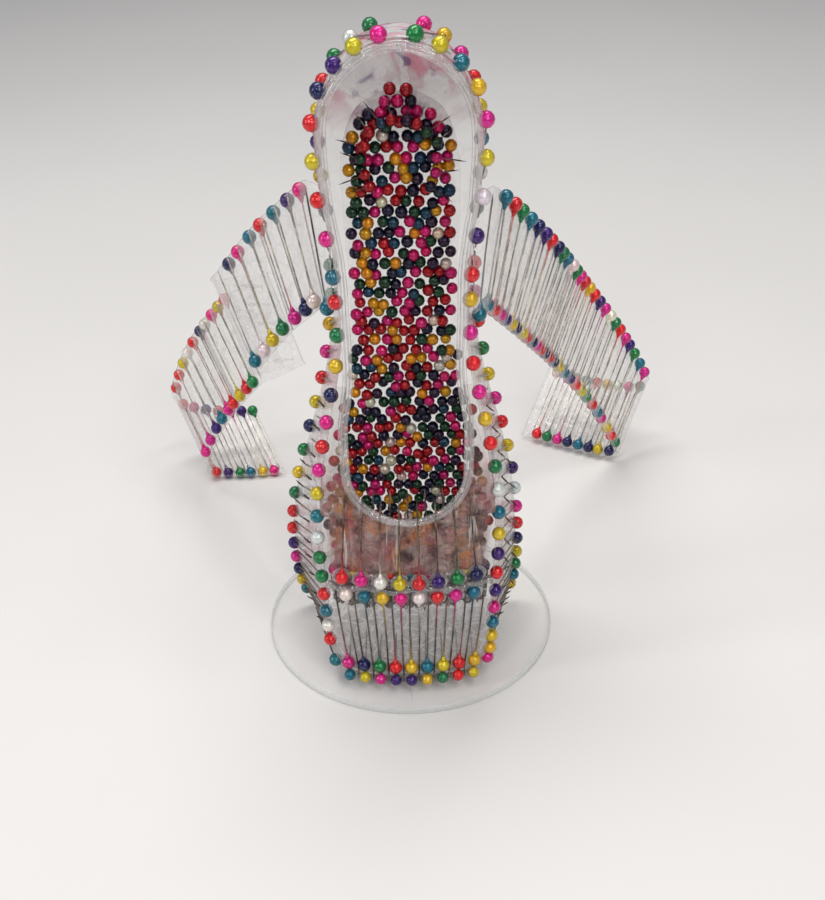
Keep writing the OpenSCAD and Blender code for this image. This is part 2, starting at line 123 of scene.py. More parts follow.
SECOND_EDGE = [
    (-42, 50, 97), (-55, 57, 87), (-64, 65, 79), (-84, 92, 46), (-97, 104, 19),
    (-99, 110, 6), (-93, 113, 2), (-80, 113, 2), (-62, 115, 2),
]
SECOND_PIN = [
    (-0.36, 0.5, 0.79), (-0.38, 0.5, 0.78), (-0.4, 0.51, 0.76), (-0.42, 0.5, 0.75), (-0.4, 0.5, 0.77),
    (-0.4, 0.56, 0.72), (-0.4, 0.66, 0.63), (-0.4, 0.76, 0.51), (-0.4, 0.8, 0.45),
]
RIGHT_FOLD, LEFT_FOLD, TAIL_FOLD = 5.5, 3.6, 4.5
START = 0.25  # the station at which the walls and the outsole start, just above the toe platform
TURN_SHARE, REST_SHARE = 0.18, 0.82  # how much of the opening's line goes round the throat, and up the sides
LIFT_END, LIFT_RUN = WING_TOP + 20, 40  # the binding follows the vamp's crown up to here, fading over this
ROOT_X, ROOT_BACK = 24.4, 7  # where a root tab starts, out from the middle and behind the ribbon
HINGE_STEP, HINGE_REACH = 0.35, 4.0  # where a ribbon's direction is read, and half of its bend
MERGE = 1e-6  # points closer than this are one, in metres


def along(points, t):
    """The point at place t on a smooth curve through the points."""
    p = [np.array(q, float) for q in points]
    n = len(p) - 1
    i = max(0, min(n - 1, math.floor(t)))
    u = t - i
    a = p[i - 1] if i > 0 else 2 * p[0] - p[1]
    b, c = p[i], p[i + 1]
    d = p[i + 2] if i + 2 <= n else 2 * p[n] - p[n - 1]
    return 0.5 * (2 * b + (c - a) * u + (2 * a - 5 * b + 4 * c - d) * u**2 + (3 * b - a - 3 * c + d) * u**3)


def outline(points, t):
    """The same for an outline that closes on its mirror image at its last point."""
    return along([*points, (-points[-2][0], points[-2][1])], t)


def unit(v):
    return v / max(np.linalg.norm(v), 1e-9)


def ball_shift(z):
    """How far the ball of the shoe leans to one side at height z."""
    return -1.6 * math.exp(-(((z - 42) / 34) ** 2))


def side_point(k, v, side):
    """A point on the side wall: station k, from the back edge at v 0 to the front edge at v 1."""
    q = outline(BACK, k) * (1 - v) + outline(FRONT, k) * v
    return np.array([side * q[0] + ball_shift(q[1]) * (1 - v), SOLE_Y + (RIM_Y - SOLE_Y) * v, q[1]])


def width_table(points, last):
    rows = np.array([outline(points, k) for k in np.arange(0, last + 0.01, 0.25)])
    return rows[:, 1], rows[:, 0]


FRONT_TABLE = width_table(FRONT, LAST - 1)
OPENING_TABLE = width_table(OPENING, len(OPENING) - 2)


def front_width(z):
    return float(np.interp(z, *FRONT_TABLE))


def opening_width(z):
    low = OPENING[0][1]
    if z < low:
        return OPENING[0][0] * math.sqrt(max(0.0, 1 - ((low - z) / (low - THROAT_Z)) ** 2))
    return float(np.interp(z, *OPENING_TABLE))


def vamp_point(u, z):
    """A point on the vamp at height z, u from -1 at the left edge to 1 at the right edge."""
    return np.array([u * front_width(z), RIM_Y - VAMP_CROWN * math.cos(math.pi / 2 * u), z])


def opening_point(a, side):
    """The middle line of the binding round the opening, a from 0 at the throat to 1 at the heel."""
    if a < TURN_SHARE:
        turn = a / TURN_SHARE * math.pi / 2
        low = OPENING[0]
        q = np.array([low[0] * math.sin(turn), low[1] - (low[1] - THROAT_Z) * math.cos(turn)])
    else:
        q = outline(OPENING, (a - TURN_SHARE) / REST_SHARE * (len(OPENING) - 1))
    lift = 0.0
    if q[1] < LIFT_END:
        lift = VAMP_CROWN * math.cos(min(math.pi / 2, math.pi / 2 * q[0] / front_width(q[1])))
    lift *= max(0.0, min(1.0, (LIFT_END - q[1]) / LIFT_RUN))
    return np.array([side * q[0], RIM_Y - lift - 0.4, q[1]])


def strip_point(edge, pins, t, v):
    """A point on a ribbon: place t along it, v across it from its lower edge."""
    return along(edge, t) + unit(along(pins, t)) * RIBBON_WIDTH * v


# --- settings ------------------------------------------------------------------------------------


class FilmSettings(bpy.types.PropertyGroup):
    """The clear film of the shoe and its ribbons."""

    thickness: bpy.props.FloatProperty(
        name="Thickness", description="Thickness of the film", default=0.0005, min=0.0002, max=0.001,
        unit="LENGTH",
    )
    bead: bpy.props.FloatProperty(
        name="Edge bead", description="Extra thickness of a ribbon's rounded edges", default=0.0009,
        unit="LENGTH",
    )
    crinkle: bpy.props.FloatProperty(
        name="Crinkle", description="How far the film is crumpled out of its plane", default=0.00035,
        unit="LENGTH",
    )
    tint: bpy.props.FloatVectorProperty(
        name="Film colour", description="Colour of light that the film sends back",
        default=(0.86, 0.83, 0.82), size=3, subtype="COLOR",
    )


class PinSettings(bpy.types.PropertyGroup):
    """The ball-headed pins."""

    segments: bpy.props.IntProperty(name="Head segments", description="Faces round a head", default=12)
    rings: bpy.props.IntProperty(name="Head rings", description="Faces from pole to pole", default=8)
    swell: bpy.props.FloatProperty(
        name="Head size", description="Size of an outer head, as a share of its CAD ball", default=1.18
    )
    neck: bpy.props.FloatProperty(
        name="Neck", description="Length of the coloured neck, in head radii", default=0.75
    )
    wire: bpy.props.FloatProperty(
        name="Shaft radius", description="Radius of a pin's shaft", default=0.00034, unit="LENGTH"
    )
    fine: bpy.props.FloatProperty(
        name="Fine shafts", description="Thickness of the loose pins' shafts, as a share of the others'",
        default=0.7,
    )
    sides: bpy.props.IntProperty(name="Shaft sides", description="Faces round a shaft", default=6)
    seed: bpy.props.IntProperty(name="Seed", description="Seed of the insole's colours", default=11)


class StageSettings(bpy.types.PropertyGroup):
    """The floor, the lights and the camera."""

    floor: bpy.props.FloatVectorProperty(
        name="Floor colour", description="Colour of the pale floor", default=(0.8, 0.785, 0.765), size=3,
        subtype="COLOR",
    )
    key: bpy.props.FloatProperty(
        name="Key light", description="Power of the overhead light", default=9.0, unit="POWER"
    )
    fill: bpy.props.FloatProperty(
        name="Fill light", description="Power of the front light", default=5.2, unit="POWER"
    )
    glint: bpy.props.FloatProperty(
        name="Glints", description="Power of each small light", default=1.1, unit="POWER"
    )


# --- shader helpers ------------------------------------------------------------------------------


class Value:
    """A number on a shader socket, which can be written in sums."""

    def __init__(self, finish, socket):
        self.finish, self.socket = finish, socket

    def _math(self, operation, a, b=None):
        sockets = {0: a} if b is None else {0: a, 1: b}
        return self.finish.node("ShaderNodeMath", {"operation": operation}, sockets)[0]

    def __add__(self, other):
        return self._math("ADD", self, other)

    def __radd__(self, other):
        return self._math("ADD", other, self)

    def __sub__(self, other):
        return self._math("SUBTRACT", self, other)

    def __rsub__(self, other):
        return self._math("SUBTRACT", other, self)

    def __mul__(self, other):
        return self._math("MULTIPLY", self, other)

    def __rmul__(self, other):
        return self._math("MULTIPLY", other, self)

    def __pow__(self, other):
        return self._math("POWER", self, other)

    def clamp(self):
        settings = {"operation": "ADD", "use_clamp": True}
        return self.finish.node("ShaderNodeMath", settings, {0: self, 1: 0.0})[0]


class Outputs:
    """The outputs of one shader node, by name or number."""

    def __init__(self, finish, made):
        self.finish, self.made = finish, made

    def __getitem__(self, key):
        return Value(self.finish, self.made.outputs[key])


class Finish:
    """A material and the nodes in it."""

    def __init__(self, name):
        self.material = bpy.data.materials.new(name)
        self.material.use_nodes = True
        self.tree = self.material.node_tree
        self.tree.nodes.clear()

    def node(self, kind, settings=None, sockets=None):
        """A node of that type, with its settings, and then the values or links of its sockets."""
        made = self.tree.nodes.new(kind)
        for name, value in (settings or {}).items():
            setattr(made, name, value)
        for name, value in (sockets or {}).items():
            if isinstance(value, Value):
                self.tree.links.new(value.socket, made.inputs[name])
            else:
                made.inputs[name].default_value = value
        return Outputs(self, made)

    def place(self):
        return self.node("ShaderNodeTexCoord")["Object"]

    def noise(self, scale, detail=3.0, rough=0.55, distort=0.0, place=None):
        sockets = {"Vector": place or self.place(), "Scale": scale, "Detail": detail, "Roughness": rough,
                   "Distortion": distort}
        return self.node("ShaderNodeTexNoise", None, sockets)

    def cells(self, scale, feature="DISTANCE_TO_EDGE"):
        sockets = {"Vector": self.place(), "Scale": scale}
        return self.node("ShaderNodeTexVoronoi", {"feature": feature}, sockets)

    def spread(self, value, low, high, to_low=0.0, to_high=1.0):
        sockets = {"Value": value, "From Min": low, "From Max": high, "To Min": to_low, "To Max": to_high}
        return self.node("ShaderNodeMapRange", {"interpolation_type": "SMOOTHSTEP"}, sockets)["Result"]

    def mix(self, factor, a, b):
        """A colour between a and b."""
        return self.node("ShaderNodeMix", {"data_type": "RGBA"}, {0: factor, 6: a, 7: b})[2]

    def bump(self, height, strength, distance, onto=None):
        sockets = {"Strength": strength, "Distance": distance, "Height": height}
        if onto is not None:
            sockets["Normal"] = onto
        return self.node("ShaderNodeBump", None, sockets)["Normal"]

    def shader(self, **sockets):
        """The material's one surface, from the sockets of a Principled shader with _ for a space."""
        spaced = {name.replace("_", " "): value for name, value in sockets.items()}
        made = self.node("ShaderNodeBsdfPrincipled", None, spaced)
        self.node("ShaderNodeOutputMaterial", None, {"Surface": made["BSDF"]})
        return self.material


def rgb(code):
    """A linear colour from a six-digit sRGB code."""
    part = [int(code[i : i + 2], 16) / 255 for i in (0, 2, 4)]
    return tuple(c / 12.92 if c <= 0.04045 else ((c + 0.055) / 1.055) ** 2.4 for c in part)


def film_finish(name, tint, haze, gloss, grain, rough, metal, reflected_pins=0.0, above=None):
    """Clear film: see-through face on, bright at grazing angles, with creases that catch the light and
    painted reflections of the pins' colours in pink and violet patches, which can be kept to the part above a
    height."""
    f = Finish(name)
    crease = f.cells(grain)["Distance"]
    creases = 1.0 - f.spread(crease, 0.0, 0.09)
    smear = f.noise(grain * 0.45, 4.0, 0.6, 1.2)["Fac"]
    fine = f.noise(grain * 4.0, 3.0, 0.6)["Fac"]
    facing = f.node("ShaderNodeLayerWeight", None, {"Blend": 0.5})["Facing"]
    alpha = haze + facing**3.0 * gloss
    alpha = alpha + f.spread(smear, 0.52, 0.75) * (haze * 1.2) + creases * (haze * 0.8)
    base = f.mix(f.spread(smear, 0.35, 0.7), (*tint, 1), (*(0.82 * c for c in tint), 1))
    if reflected_pins:
        # painted reflections of the pins' heads: pink and violet patches mixed into the film's colour, which
        # also make it more opaque
        rosy_reflection = f.spread(f.noise(55.0, 3.0, 0.6, 1.0)["Fac"], 0.46, 0.62)
        other = f.spread(f.noise(75.0, 2.0, 0.5, 1.4)["Fac"], 0.56, 0.68)
        if above is not None:
            height = f.node("ShaderNodeSeparateXYZ", None, {"Vector": f.place()})["Z"]
            mask = f.spread(height, above, above + 0.025)
            rosy_reflection, other = rosy_reflection * mask, other * mask
            alpha = alpha + mask * 0.3
        base = f.mix(rosy_reflection * reflected_pins, base, (0.85, 0.22, 0.36, 1))
        base = f.mix(other * (reflected_pins * 0.8), base, (0.16, 0.06, 0.3, 1))
        alpha = alpha + (rosy_reflection + other) * (reflected_pins * 0.3)
    normal = f.bump(crease, 0.35, 0.0012, f.bump(smear, 0.5, 0.003))
    return f.shader(
        Base_Color=base,
        Metallic=metal,
        Roughness=(rough + fine * 0.12).clamp(),
        IOR=1.5,
        Alpha=alpha.clamp(),
        Normal=f.bump(fine, 0.12, 0.0005, normal),
    )


# What shows, blurred, behind the upper tier of the vamp: size, strength and colour of each kind of blot
BLURS = (
    (95.0, 0.75, (0.5, 0.09, 0.11)),
    (120.0, 0.75, (0.62, 0.24, 0.06)),
    (80.0, 0.6, (0.36, 0.16, 0.17)),
    (150.0, 0.85, (0.05, 0.025, 0.03)),
)
FROST = rgb("c8b0aa")
FROSTED_HALF = (0.0246, 0.0316)  # the upper tier's frosting fades between these, out from its middle
WING_CLEAR = (0.08, 0.112)  # the wings' frosting fades between these heights


def frosted_finish(name, wing=False):
    """The frosted film of the vamp's upper tier and wings: folds run down it, and it blurs what it covers."""
    f = Finish(name)
    place = f.node("ShaderNodeSeparateXYZ", None, {"Vector": f.place()})
    long = f.node("ShaderNodeMapping", None, {"Vector": f.place(), "Scale": (420, 420, 34)})["Vector"]
    fold = f.noise(1.0, 3.0, 0.6, 0.5, long)["Fac"]
    smear = f.noise(140.0, 4.0, 0.6, 1.5)["Fac"]
    fine = f.noise(700.0, 3.0, 0.6)["Fac"]
    base = f.mix(f.spread(smear, 0.3, 0.7), (*FROST, 1), (*(0.4 * c for c in FROST), 1))
    for scale, amount, colour in BLURS:
        blot = f.spread(f.noise(scale, 3.0, 0.6, 0.4)["Fac"], 0.44, 0.74)
        base = f.mix(blot * amount, base, (*colour, 1))
    glint = f.spread(fold, 0.62, 0.7)
    base = f.mix(glint * 0.7, base, (0.85, 0.8, 0.76, 1))
    if wing:
        inside = (1.0 - f.spread(place["Z"], *WING_CLEAR)) * 0.8
    else:
        inside = 1.0 - f.spread(place["X"] * place["X"], *(x**2 for x in FROSTED_HALF))
    body = 0.5 + f.spread(fold, 0.35, 0.6) * 0.3 + f.spread(smear, 0.35, 0.7) * 0.15
    return f.shader(
        Base_Color=base,
        Roughness=(0.22 + f.spread(smear, 0.4, 0.75) * 0.2 + fine * 0.05).clamp(),
        Metallic=0.25,
        IOR=1.3,
        Alpha=(0.12 + body * inside * 0.85).clamp(),
        Normal=f.bump(smear, 0.7, 0.003, f.bump(fold, 0.7, 0.002)),
    )


def crumple_finish(name):
    """Crumpled film full of set glue: dark folds, bright edges, and silvery patches whose facets carry a
    painted highlight, white in the middle and grey at the rim.
    """
    f = Finish(name)
    facet = f.cells(430.0, "F1")["Distance"]
    crease = f.cells(520.0)["Distance"]
    smear = f.noise(300.0, 4.0, 0.65, 1.4)["Fac"]
    hue = f.noise(170.0, 2.0)["Fac"]
    dark = f.mix(f.spread(hue, 0.4, 0.62), (0.09, 0.075, 0.07, 1), (0.3, 0.17, 0.2, 1))
    # painted highlight: each facet is white in its middle and greyer towards its rim
    lit = f.mix(f.spread(facet, 0.1, 0.6), (0.95, 0.93, 0.92, 1), (0.45, 0.42, 0.41, 1))
    bright = f.spread(smear, 0.42, 0.6)
    edges = 1.0 - f.spread(crease, 0.0, 0.12)
    return f.shader(
        Base_Color=f.mix(bright, dark, lit),
        Metallic=0.6,
        Roughness=(0.1 + facet * 0.2).clamp(),
        IOR=1.5,
        Alpha=(0.3 + f.spread(smear, 0.3, 0.5) * 0.3 + edges * 0.25).clamp(),
        Normal=f.bump(facet, 1.0, 0.003, f.bump(smear, 0.8, 0.003)),
    )


def solid_clear_finish(name, tint, body, edge, scale, rough, metal):
    """Thick clear plastic or glue: faint in the middle, bright along its edges."""
    f = Finish(name)
    lumps = f.noise(scale, 4.0, 0.6, 0.8)["Fac"]
    fine = f.noise(scale * 5, 2.0)["Fac"]
    facing = f.node("ShaderNodeLayerWeight", None, {"Blend": 0.45})["Facing"]
    return f.shader(
        Base_Color=f.mix(f.spread(lumps, 0.35, 0.7), (*tint, 1), (*(0.75 * c for c in tint), 1)),
        Metallic=metal,
        Roughness=(rough + fine * 0.1).clamp(),
        IOR=1.49,
        Alpha=(body + facing**2.0 * edge + f.spread(lumps, 0.55, 0.8) * 0.2).clamp(),
        Normal=f.bump(lumps, 0.4, 0.002),
    )


def disc_finish(name, radius):
    """Polished clear acrylic with a bright cut edge, faint scratches and dust."""
    f = Finish(name)
    place = f.node("ShaderNodeSeparateXYZ", None, {"Vector": f.place()})
    reach = (place["X"] * place["X"] + place["Y"] * place["Y"]) ** 0.5
    edge = f.spread(reach, radius - 0.0011, radius - 0.0002)
    dust = f.spread(f.noise(2600.0, 2.0)["Fac"], 0.68, 0.78)
    sockets = {"Vector": f.place(), "Rotation": (0, 0, 0.6), "Scale": (900, 22, 1)}
    stretch = f.node("ShaderNodeMapping", None, sockets)
    scratch = f.spread(f.noise(1.0, 2.0, 0.5, 0.0, stretch["Vector"])["Fac"], 0.69, 0.75)
    facing = f.node("ShaderNodeLayerWeight", None, {"Blend": 0.4})["Facing"]
    alpha = 0.006 + facing**4.0 * 0.15 + edge * 0.35 + dust * 0.06 + scratch * 0.05
    return f.shader(
        Base_Color=f.mix(edge, (0.9, 0.92, 0.92, 1), (0.66, 0.72, 0.71, 1)),
        Metallic=0.0,
        Roughness=(0.05 + dust * 0.3 + scratch * 0.2).clamp(),
        IOR=1.49,
        Alpha=alpha.clamp(),
        Normal=f.bump(scratch, 0.1, 0.0003),
    )


def head_finish(name, sheen, metal):
    """Pearly plastic balls in the colour that each pin carries, with soft swirls, and painted shade that
    darkens each ball towards its rim where it turns away from the view.
    """
    f = Finish(name)
    tint = f.node("ShaderNodeAttribute", {"attribute_name": "tint"})["Color"]
    swirl = f.noise(520.0, 3.0, 0.6, 2.6)["Fac"]
    fleck = f.noise(2400.0, 2.0)["Fac"]
    facing = f.node("ShaderNodeLayerWeight", None, {"Blend": 0.35})["Facing"]
    lit = f.mix(f.spread(swirl, 0.5, 0.75) * sheen, tint, (1.0, 0.93, 0.88, 1))
    deep = f.mix(f.spread(swirl, 0.25, 0.5, 0.3, 0.0), lit, (0.01, 0.005, 0.01, 1))
    return f.shader(
        # painted shade: the colour darkens towards the rim as the surface turns away from the view
        Base_Color=f.mix(facing**2.0 * 0.6, deep, (0.01, 0.005, 0.01, 1)),
        Metallic=metal,
        Roughness=(0.24 + fleck * 0.14).clamp(),
        IOR=1.3,
        Coat_Weight=0.6,
        Coat_Roughness=0.03,
        Normal=f.bump(swirl, 0.08, 0.0006),
    )


def shaft_finish(name, dark, light):
    """Steel wire with draw marks and darker patches, and a painted reflection of the head's colour on its
    top.
    """
    f = Finish(name)
    tint = f.node("ShaderNodeAttribute", {"attribute_name": "tint"})["Color"]
    head_reflection = f.node("ShaderNodeAttribute", {"attribute_name": "head_reflection"})["Fac"]
    patch = f.noise(160.0, 4.0, 0.6)["Fac"]
    marks = f.noise(2200.0, 2.0)["Fac"]
    steel = f.mix(f.spread(patch, 0.35, 0.7), (*dark, 1), (*light, 1))
    return f.shader(
        # painted reflection: the head's colour on the top of the shaft, which is less metallic there
        Base_Color=f.mix(head_reflection, steel, tint),
        Metallic=(0.95 - head_reflection * 0.7).clamp(),
        Roughness=(0.2 + marks * 0.16).clamp(),
        Normal=f.bump(marks, 0.08, 0.0002),
    )


def floor_finish(name, colour):
    """Satin painted board."""
    f = Finish(name)
    cloud = f.noise(3.0, 4.0, 0.5)["Fac"]
    roll = f.noise(520.0, 3.0, 0.6)["Fac"]
    return f.shader(
        Base_Color=f.mix(f.spread(cloud, 0.3, 0.7), (*colour, 1), (*(0.96 * c for c in colour), 1)),
        Roughness=(0.42 + roll * 0.1).clamp(),
        Normal=f.bump(roll, 0.05, 0.0004),
    )


FINISHES = {}


def finish(name, make, *details):
    """A material by name, made the first time it is asked for."""
    if name not in FINISHES:
        FINISHES[name] = make(name, *details)
    return FINISHES[name]


# The shoe's films: colour (None is the panel's), haze, shine at a grazing angle, creases to the metre,
# roughness, metal, strength of the painted pin reflections, and the height in metres that they start at
FILMS = {
    "ribbon": (None, 0.09, 0.7, 210.0, 0.06, 0.2),
    "sole": (None, 0.04, 0.4, 90.0, 0.12, 0.1, 0.9, 0.2),
    "toe": ((0.93, 0.915, 0.9), 0.13, 0.6, 150.0, 0.1, 0.05),
    "platform": ((0.93, 0.92, 0.91), 0.5, 0.4, 150.0, 0.25, 0.0),
    "heel": (None, 0.3, 0.6, 110.0, 0.1, 0.1, 1.0),
    "wall": (None, 0.12, 0.65, 120.0, 0.07, 0.15, 0.35),
}

# Thick clear plastic and glue: colour, body, shine of the edges, lumps to the metre, roughness and metal
CLEARS = {
    "set_glue": ((0.8, 0.78, 0.76), 0.25, 0.5, 260.0, 0.08, 0.45),
    "halo_glue": ((0.95, 0.93, 0.91), 0.16, 0.85, 260.0, 0.05, 0.1),
    "clear_glue": ((0.92, 0.9, 0.88), 0.12, 0.35, 300.0, 0.1, 0.0),
    "clear_strip": ((0.9, 0.88, 0.87), 0.2, 0.65, 180.0, 0.05, 0.45),
}


def film_material(kind):
    tint, *details = FILMS[kind]
    return finish(kind + "_film", film_finish, tint or bpy.context.scene.pointe_film.tint, *details)


def clear_material(name):
    return finish(name, solid_clear_finish, *CLEARS[name])


# --- mesh helpers --------------------------------------------------------------------------------


def new_piece(name, mesh, material, bodies, replaced=(), smooth=True):
    """Puts a mesh in the scene as one piece that stands for its CAD nodes; it rides on its body when given
    one, and is fixed in place when given several.
    """
    mesh.materials.clear()
    mesh.materials.append(material)
    if smooth:
        mesh.polygons.foreach_set("use_smooth", [True] * len(mesh.polygons))
    obj = bpy.data.objects.new(name, mesh)
    bpy.context.scene.collection.objects.link(obj)
    if isinstance(bodies, str):
        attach(obj, bodies)
    else:
        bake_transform(obj)
    if replaced:
        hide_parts(*replaced)
    return obj


def mesh_from(name, points, faces):
    mesh = bpy.data.meshes.new(name)
    mesh.from_pydata([tuple(p) for p in points], [], faces)
    mesh.validate()
    mesh.update()
    return mesh


def tidy_mesh(mesh):
    """Merges doubles and turns every face outwards."""
    bm = bmesh.new()
    bm.from_mesh(mesh)
    bmesh.ops.remove_doubles(bm, verts=bm.verts, dist=MERGE)
    bmesh.ops.dissolve_degenerate(bm, edges=bm.edges, dist=MERGE)
    bmesh.ops.recalc_face_normals(bm, faces=bm.faces)
    bm.to_mesh(mesh)
    bm.free()
    return mesh


def shell(name, grid, thickness, crinkle, wave=0.011, seed=0.0):
    """A closed film round a grid of points in millimetres; thickness is in metres, for all or each column."""
    g = np.array(grid, float) * MM
    rows, columns = g.shape[:2]
    thick = np.ones(columns) * thickness
    down = np.gradient(g, axis=0)
    across = np.gradient(g, axis=1)
    normal = np.cross(down, across)
    length = np.linalg.norm(normal, axis=2, keepdims=True)
    normal = normal / np.maximum(length, 1e-12)
    push = np.zeros((rows, columns))
    for i in range(rows):
        for j in range(columns):
            p = Vector(g[i, j]) / wave + Vector((seed, 0, 0))
            sharp = 1 - 2 * abs(noise.noise(p * 1.7 + Vector((9, 4, 2))))
            push[i, j] = noise.noise(p) * 0.7 + sharp * 0.35
    rim = np.minimum(np.arange(rows), np.arange(rows)[::-1])[:, None] / 3
    side = np.minimum(np.arange(columns), np.arange(columns)[::-1])[None, :] / 3
    push *= np.clip(np.minimum(rim, side), 0, 1)
    middle = g + normal * (push * crinkle)[..., None]
    front = middle + normal * (thick / 2)[None, :, None]
    back = middle - normal * (thick / 2)[None, :, None]
    points = np.concatenate([front.reshape(-1, 3), back.reshape(-1, 3)])

    def at(layer, i, j):
        return layer * rows * columns + i * columns + j

    faces = []
    low, right = rows - 1, columns - 1
    for i in range(low):
        for j in range(right):
            faces.append((at(0, i, j), at(0, i, j + 1), at(0, i + 1, j + 1), at(0, i + 1, j)))
            faces.append((at(1, i, j), at(1, i + 1, j), at(1, i + 1, j + 1), at(1, i, j + 1)))
    for j in range(right):
        faces.append((at(0, 0, j), at(1, 0, j), at(1, 0, j + 1), at(0, 0, j + 1)))
        faces.append((at(0, low, j), at(0, low, j + 1), at(1, low, j + 1), at(1, low, j)))
    for i in range(low):
        faces.append((at(0, i, 0), at(0, i + 1, 0), at(1, i + 1, 0), at(1, i, 0)))
        faces.append((at(0, i, right), at(1, i, right), at(1, i + 1, right), at(0, i + 1, right)))
    return tidy_mesh(mesh_from(name, points, faces))


def tube(name, path, radius, sides=12, closed=False, lumps=0.0, wave=0.003, flat=1.0):
    """A round or oval tube along a path in millimetres; radius is in metres, for each point."""
    p = np.array(path, float) * MM
    n = len(p)
    radius = np.ones(n) * radius
    points, faces = [], []
    for i in range(n):
        before = p[i - 1] if i or closed else p[0]
        after = p[(i + 1) % n] if i < n - 1 or closed else p[-1]
        go = unit(after - before)
        out = unit(np.cross(go, (0, 1, 0)))
        up = unit(np.cross(out, go))
        for k in range(sides):
            a = 2 * math.pi * k / sides
            q = p[i] + radius[i] * (out * math.cos(a) + up * math.sin(a) * flat)
            grow = noise.noise(Vector(q) / wave) * lumps
            points.append(q + unit(q - p[i]) * grow)
    turns = n if closed else n - 1
    for i in range(turns):
        for k in range(sides):
            a, b = i * sides + k, i * sides + (k + 1) % sides
            c, d = ((i + 1) % n) * sides + (k + 1) % sides, ((i + 1) % n) * sides + k
            faces.append((a, b, c, d))
    if not closed:
        faces.append(tuple(range(sides)))
        faces.append(tuple(range((n - 1) * sides, n * sides)))
    return tidy_mesh(mesh_from(name, points, faces))


def join_meshes(name, meshes):
    """One mesh from several."""
    bm = bmesh.new()
    for mesh in meshes:
        bm.from_mesh(mesh)
    made = bpy.data.meshes.new(name)
    bm.to_mesh(made)
    bm.free()
    return made


# --- pins ----------------------------------------------------------------------------------------

INKS = {
    "P": rgb("dc1688"), "R": rgb("e01a22"), "Y": rgb("dcbb1c"), "T": rgb("046a80"), "G": rgb("067a42"),
    "N": rgb("081452"), "U": rgb("36086a"), "W": rgb("e9e4dc"),
}
# A darker copy of the pins' colours, as painted shade for the heads that sit inside the shoe on the insole
SHADED_INKS = {
    "P": rgb("c80c64"), "R": rgb("a80414"), "Y": rgb("d6920c"), "T": rgb("043a52"), "G": rgb("033a20"),
    "N": rgb("04082a"), "U": rgb("22062e"), "W": rgb("d8ccb8"),
}
INSOLE_MIX = "RRRRRPPPPYYYGGGGNNNNUUTTW"

# Each row of pins: its nodes' name without _pins, its colours, and how they are put in order
PIN_ROWS = {
    "heel_rim": ("PYUNRYRPTGYTYPYWUR", "arch"),
    "heel_back": ("GWGRYUYNPYPRYTWGRP", "arch"),
    "left_side_front": ("RGYNPRPYTWGGRTWRTPT", "fall"),
    "left_side_back": ("GGYPRYNGYGRRUPNYT", "fall"),
    "right_side_front": ("YPRPYRGWTYURUPTYYPG", "fall"),
    "right_side_back": ("RPRGYPRYUWPRNYGTY", "fall"),
    "vamp_throat": ("RPWYRUGN", "x"),
    "vamp_inner": ("PYWRTPWYN", "x"),
    "vamp_falling": ("WTYPWRPT", "x"),
    "vamp_rising": ("PNGRYTYRY", "x"),
    "toe_tip": ("TYPUUYGRY", "x"),
    "left_ribbon_first_top": ("PUTRTPNWYW", "y"),
    "left_ribbon_first_bottom": ("WNPGYWTRGU", "y"),
    "left_ribbon_second_top": ("RYPWNRWYRRTPU", "y"),
    "left_ribbon_second_bottom": ("GRYRPTUPPGNP", "y"),
    "left_tail_top": ("RPURPUG", "x"),
    "left_tail_bottom": ("RUGTYPTP", "x"),
    "right_ribbon_top": ("TRGTNURNGTWGPRYRUPWGRPUGTP", "y"),
    "right_ribbon_bottom": ("TRPUYNYRNPRNRNYTURYGRTPYRG", "y"),
    "right_tail_top": ("WPGTRY", "x"),
    "right_tail_bottom": ("RGPNTNYNYPPN", "x"),
}
LONE_PIN = ("T", "x")  # the same for a root pin
INSOLE_ROWS = ("toe_insole", "ball_insole", "waist_insole", "heel_insole", "heel_stray")
INSOLE_SEGMENTS, INSOLE_RINGS, INSOLE_NECK = 10, 7, 0.45
INSOLE_SWELL = (1.1, 1.22)  # size of an insole head, as a share of its CAD ball
SLIP, SINK = 0.00042, 0.0006  # how far out of line an insole head is, sideways and inwards
FOLLOW = 0.3  # how much of that its shaft's tip follows
SHADE = (0.85, 1.1)  # how much darker or lighter one head is than its row's colour
HEAD_REACHES = (0.0024, 0.0026, 0.0026)  # points this near belong to a head, as its centre is found
OFF_HEAD, HOOK_REACH, BOW = 0.001, 0.0012, 0.00035  # clear of a head; a bend's size; the bow of a shaft


def loose_parts(obj):
    """The separate solids of a CAD node, each as an array of points in metres."""
    mesh = obj.data
    co = np.zeros(len(mesh.vertices) * 3, np.float32)
    mesh.vertices.foreach_get("co", co)
    co = co.reshape(-1, 3).astype(float)
    loops = np.zeros(len(mesh.loops), np.int64)
    mesh.loops.foreach_get("vertex_index", loops)
    triangles = loops.reshape(-1, 3)
    _, first, same = np.unique(np.round(co, 6), axis=0, return_index=True, return_inverse=True)
    same = same.reshape(-1)
    label = np.arange(len(first))
    triangles = same[triangles]
    while True:
        least = label[triangles].min(axis=1)
        before = label.copy()
        for corner in range(3):
            np.minimum.at(label, triangles[:, corner], least)
        label = label[label]
        if np.array_equal(before, label):
            break
    points = co[first]
    order = np.argsort(label, kind="stable")
    cuts = np.flatnonzero(np.diff(label[order])) + 1
    return [points[part] for part in np.split(order, cuts)]


def fit_ball(points):
    """The centre and radius of the sphere that the points lie on."""
    a = np.c_[2 * points, np.ones(len(points))]
    b = (points**2).sum(axis=1)
    s = np.linalg.lstsq(a, b, rcond=None)[0]
    return s[:3], math.sqrt(max(s[3] + s[:3] @ s[:3], 0.0))


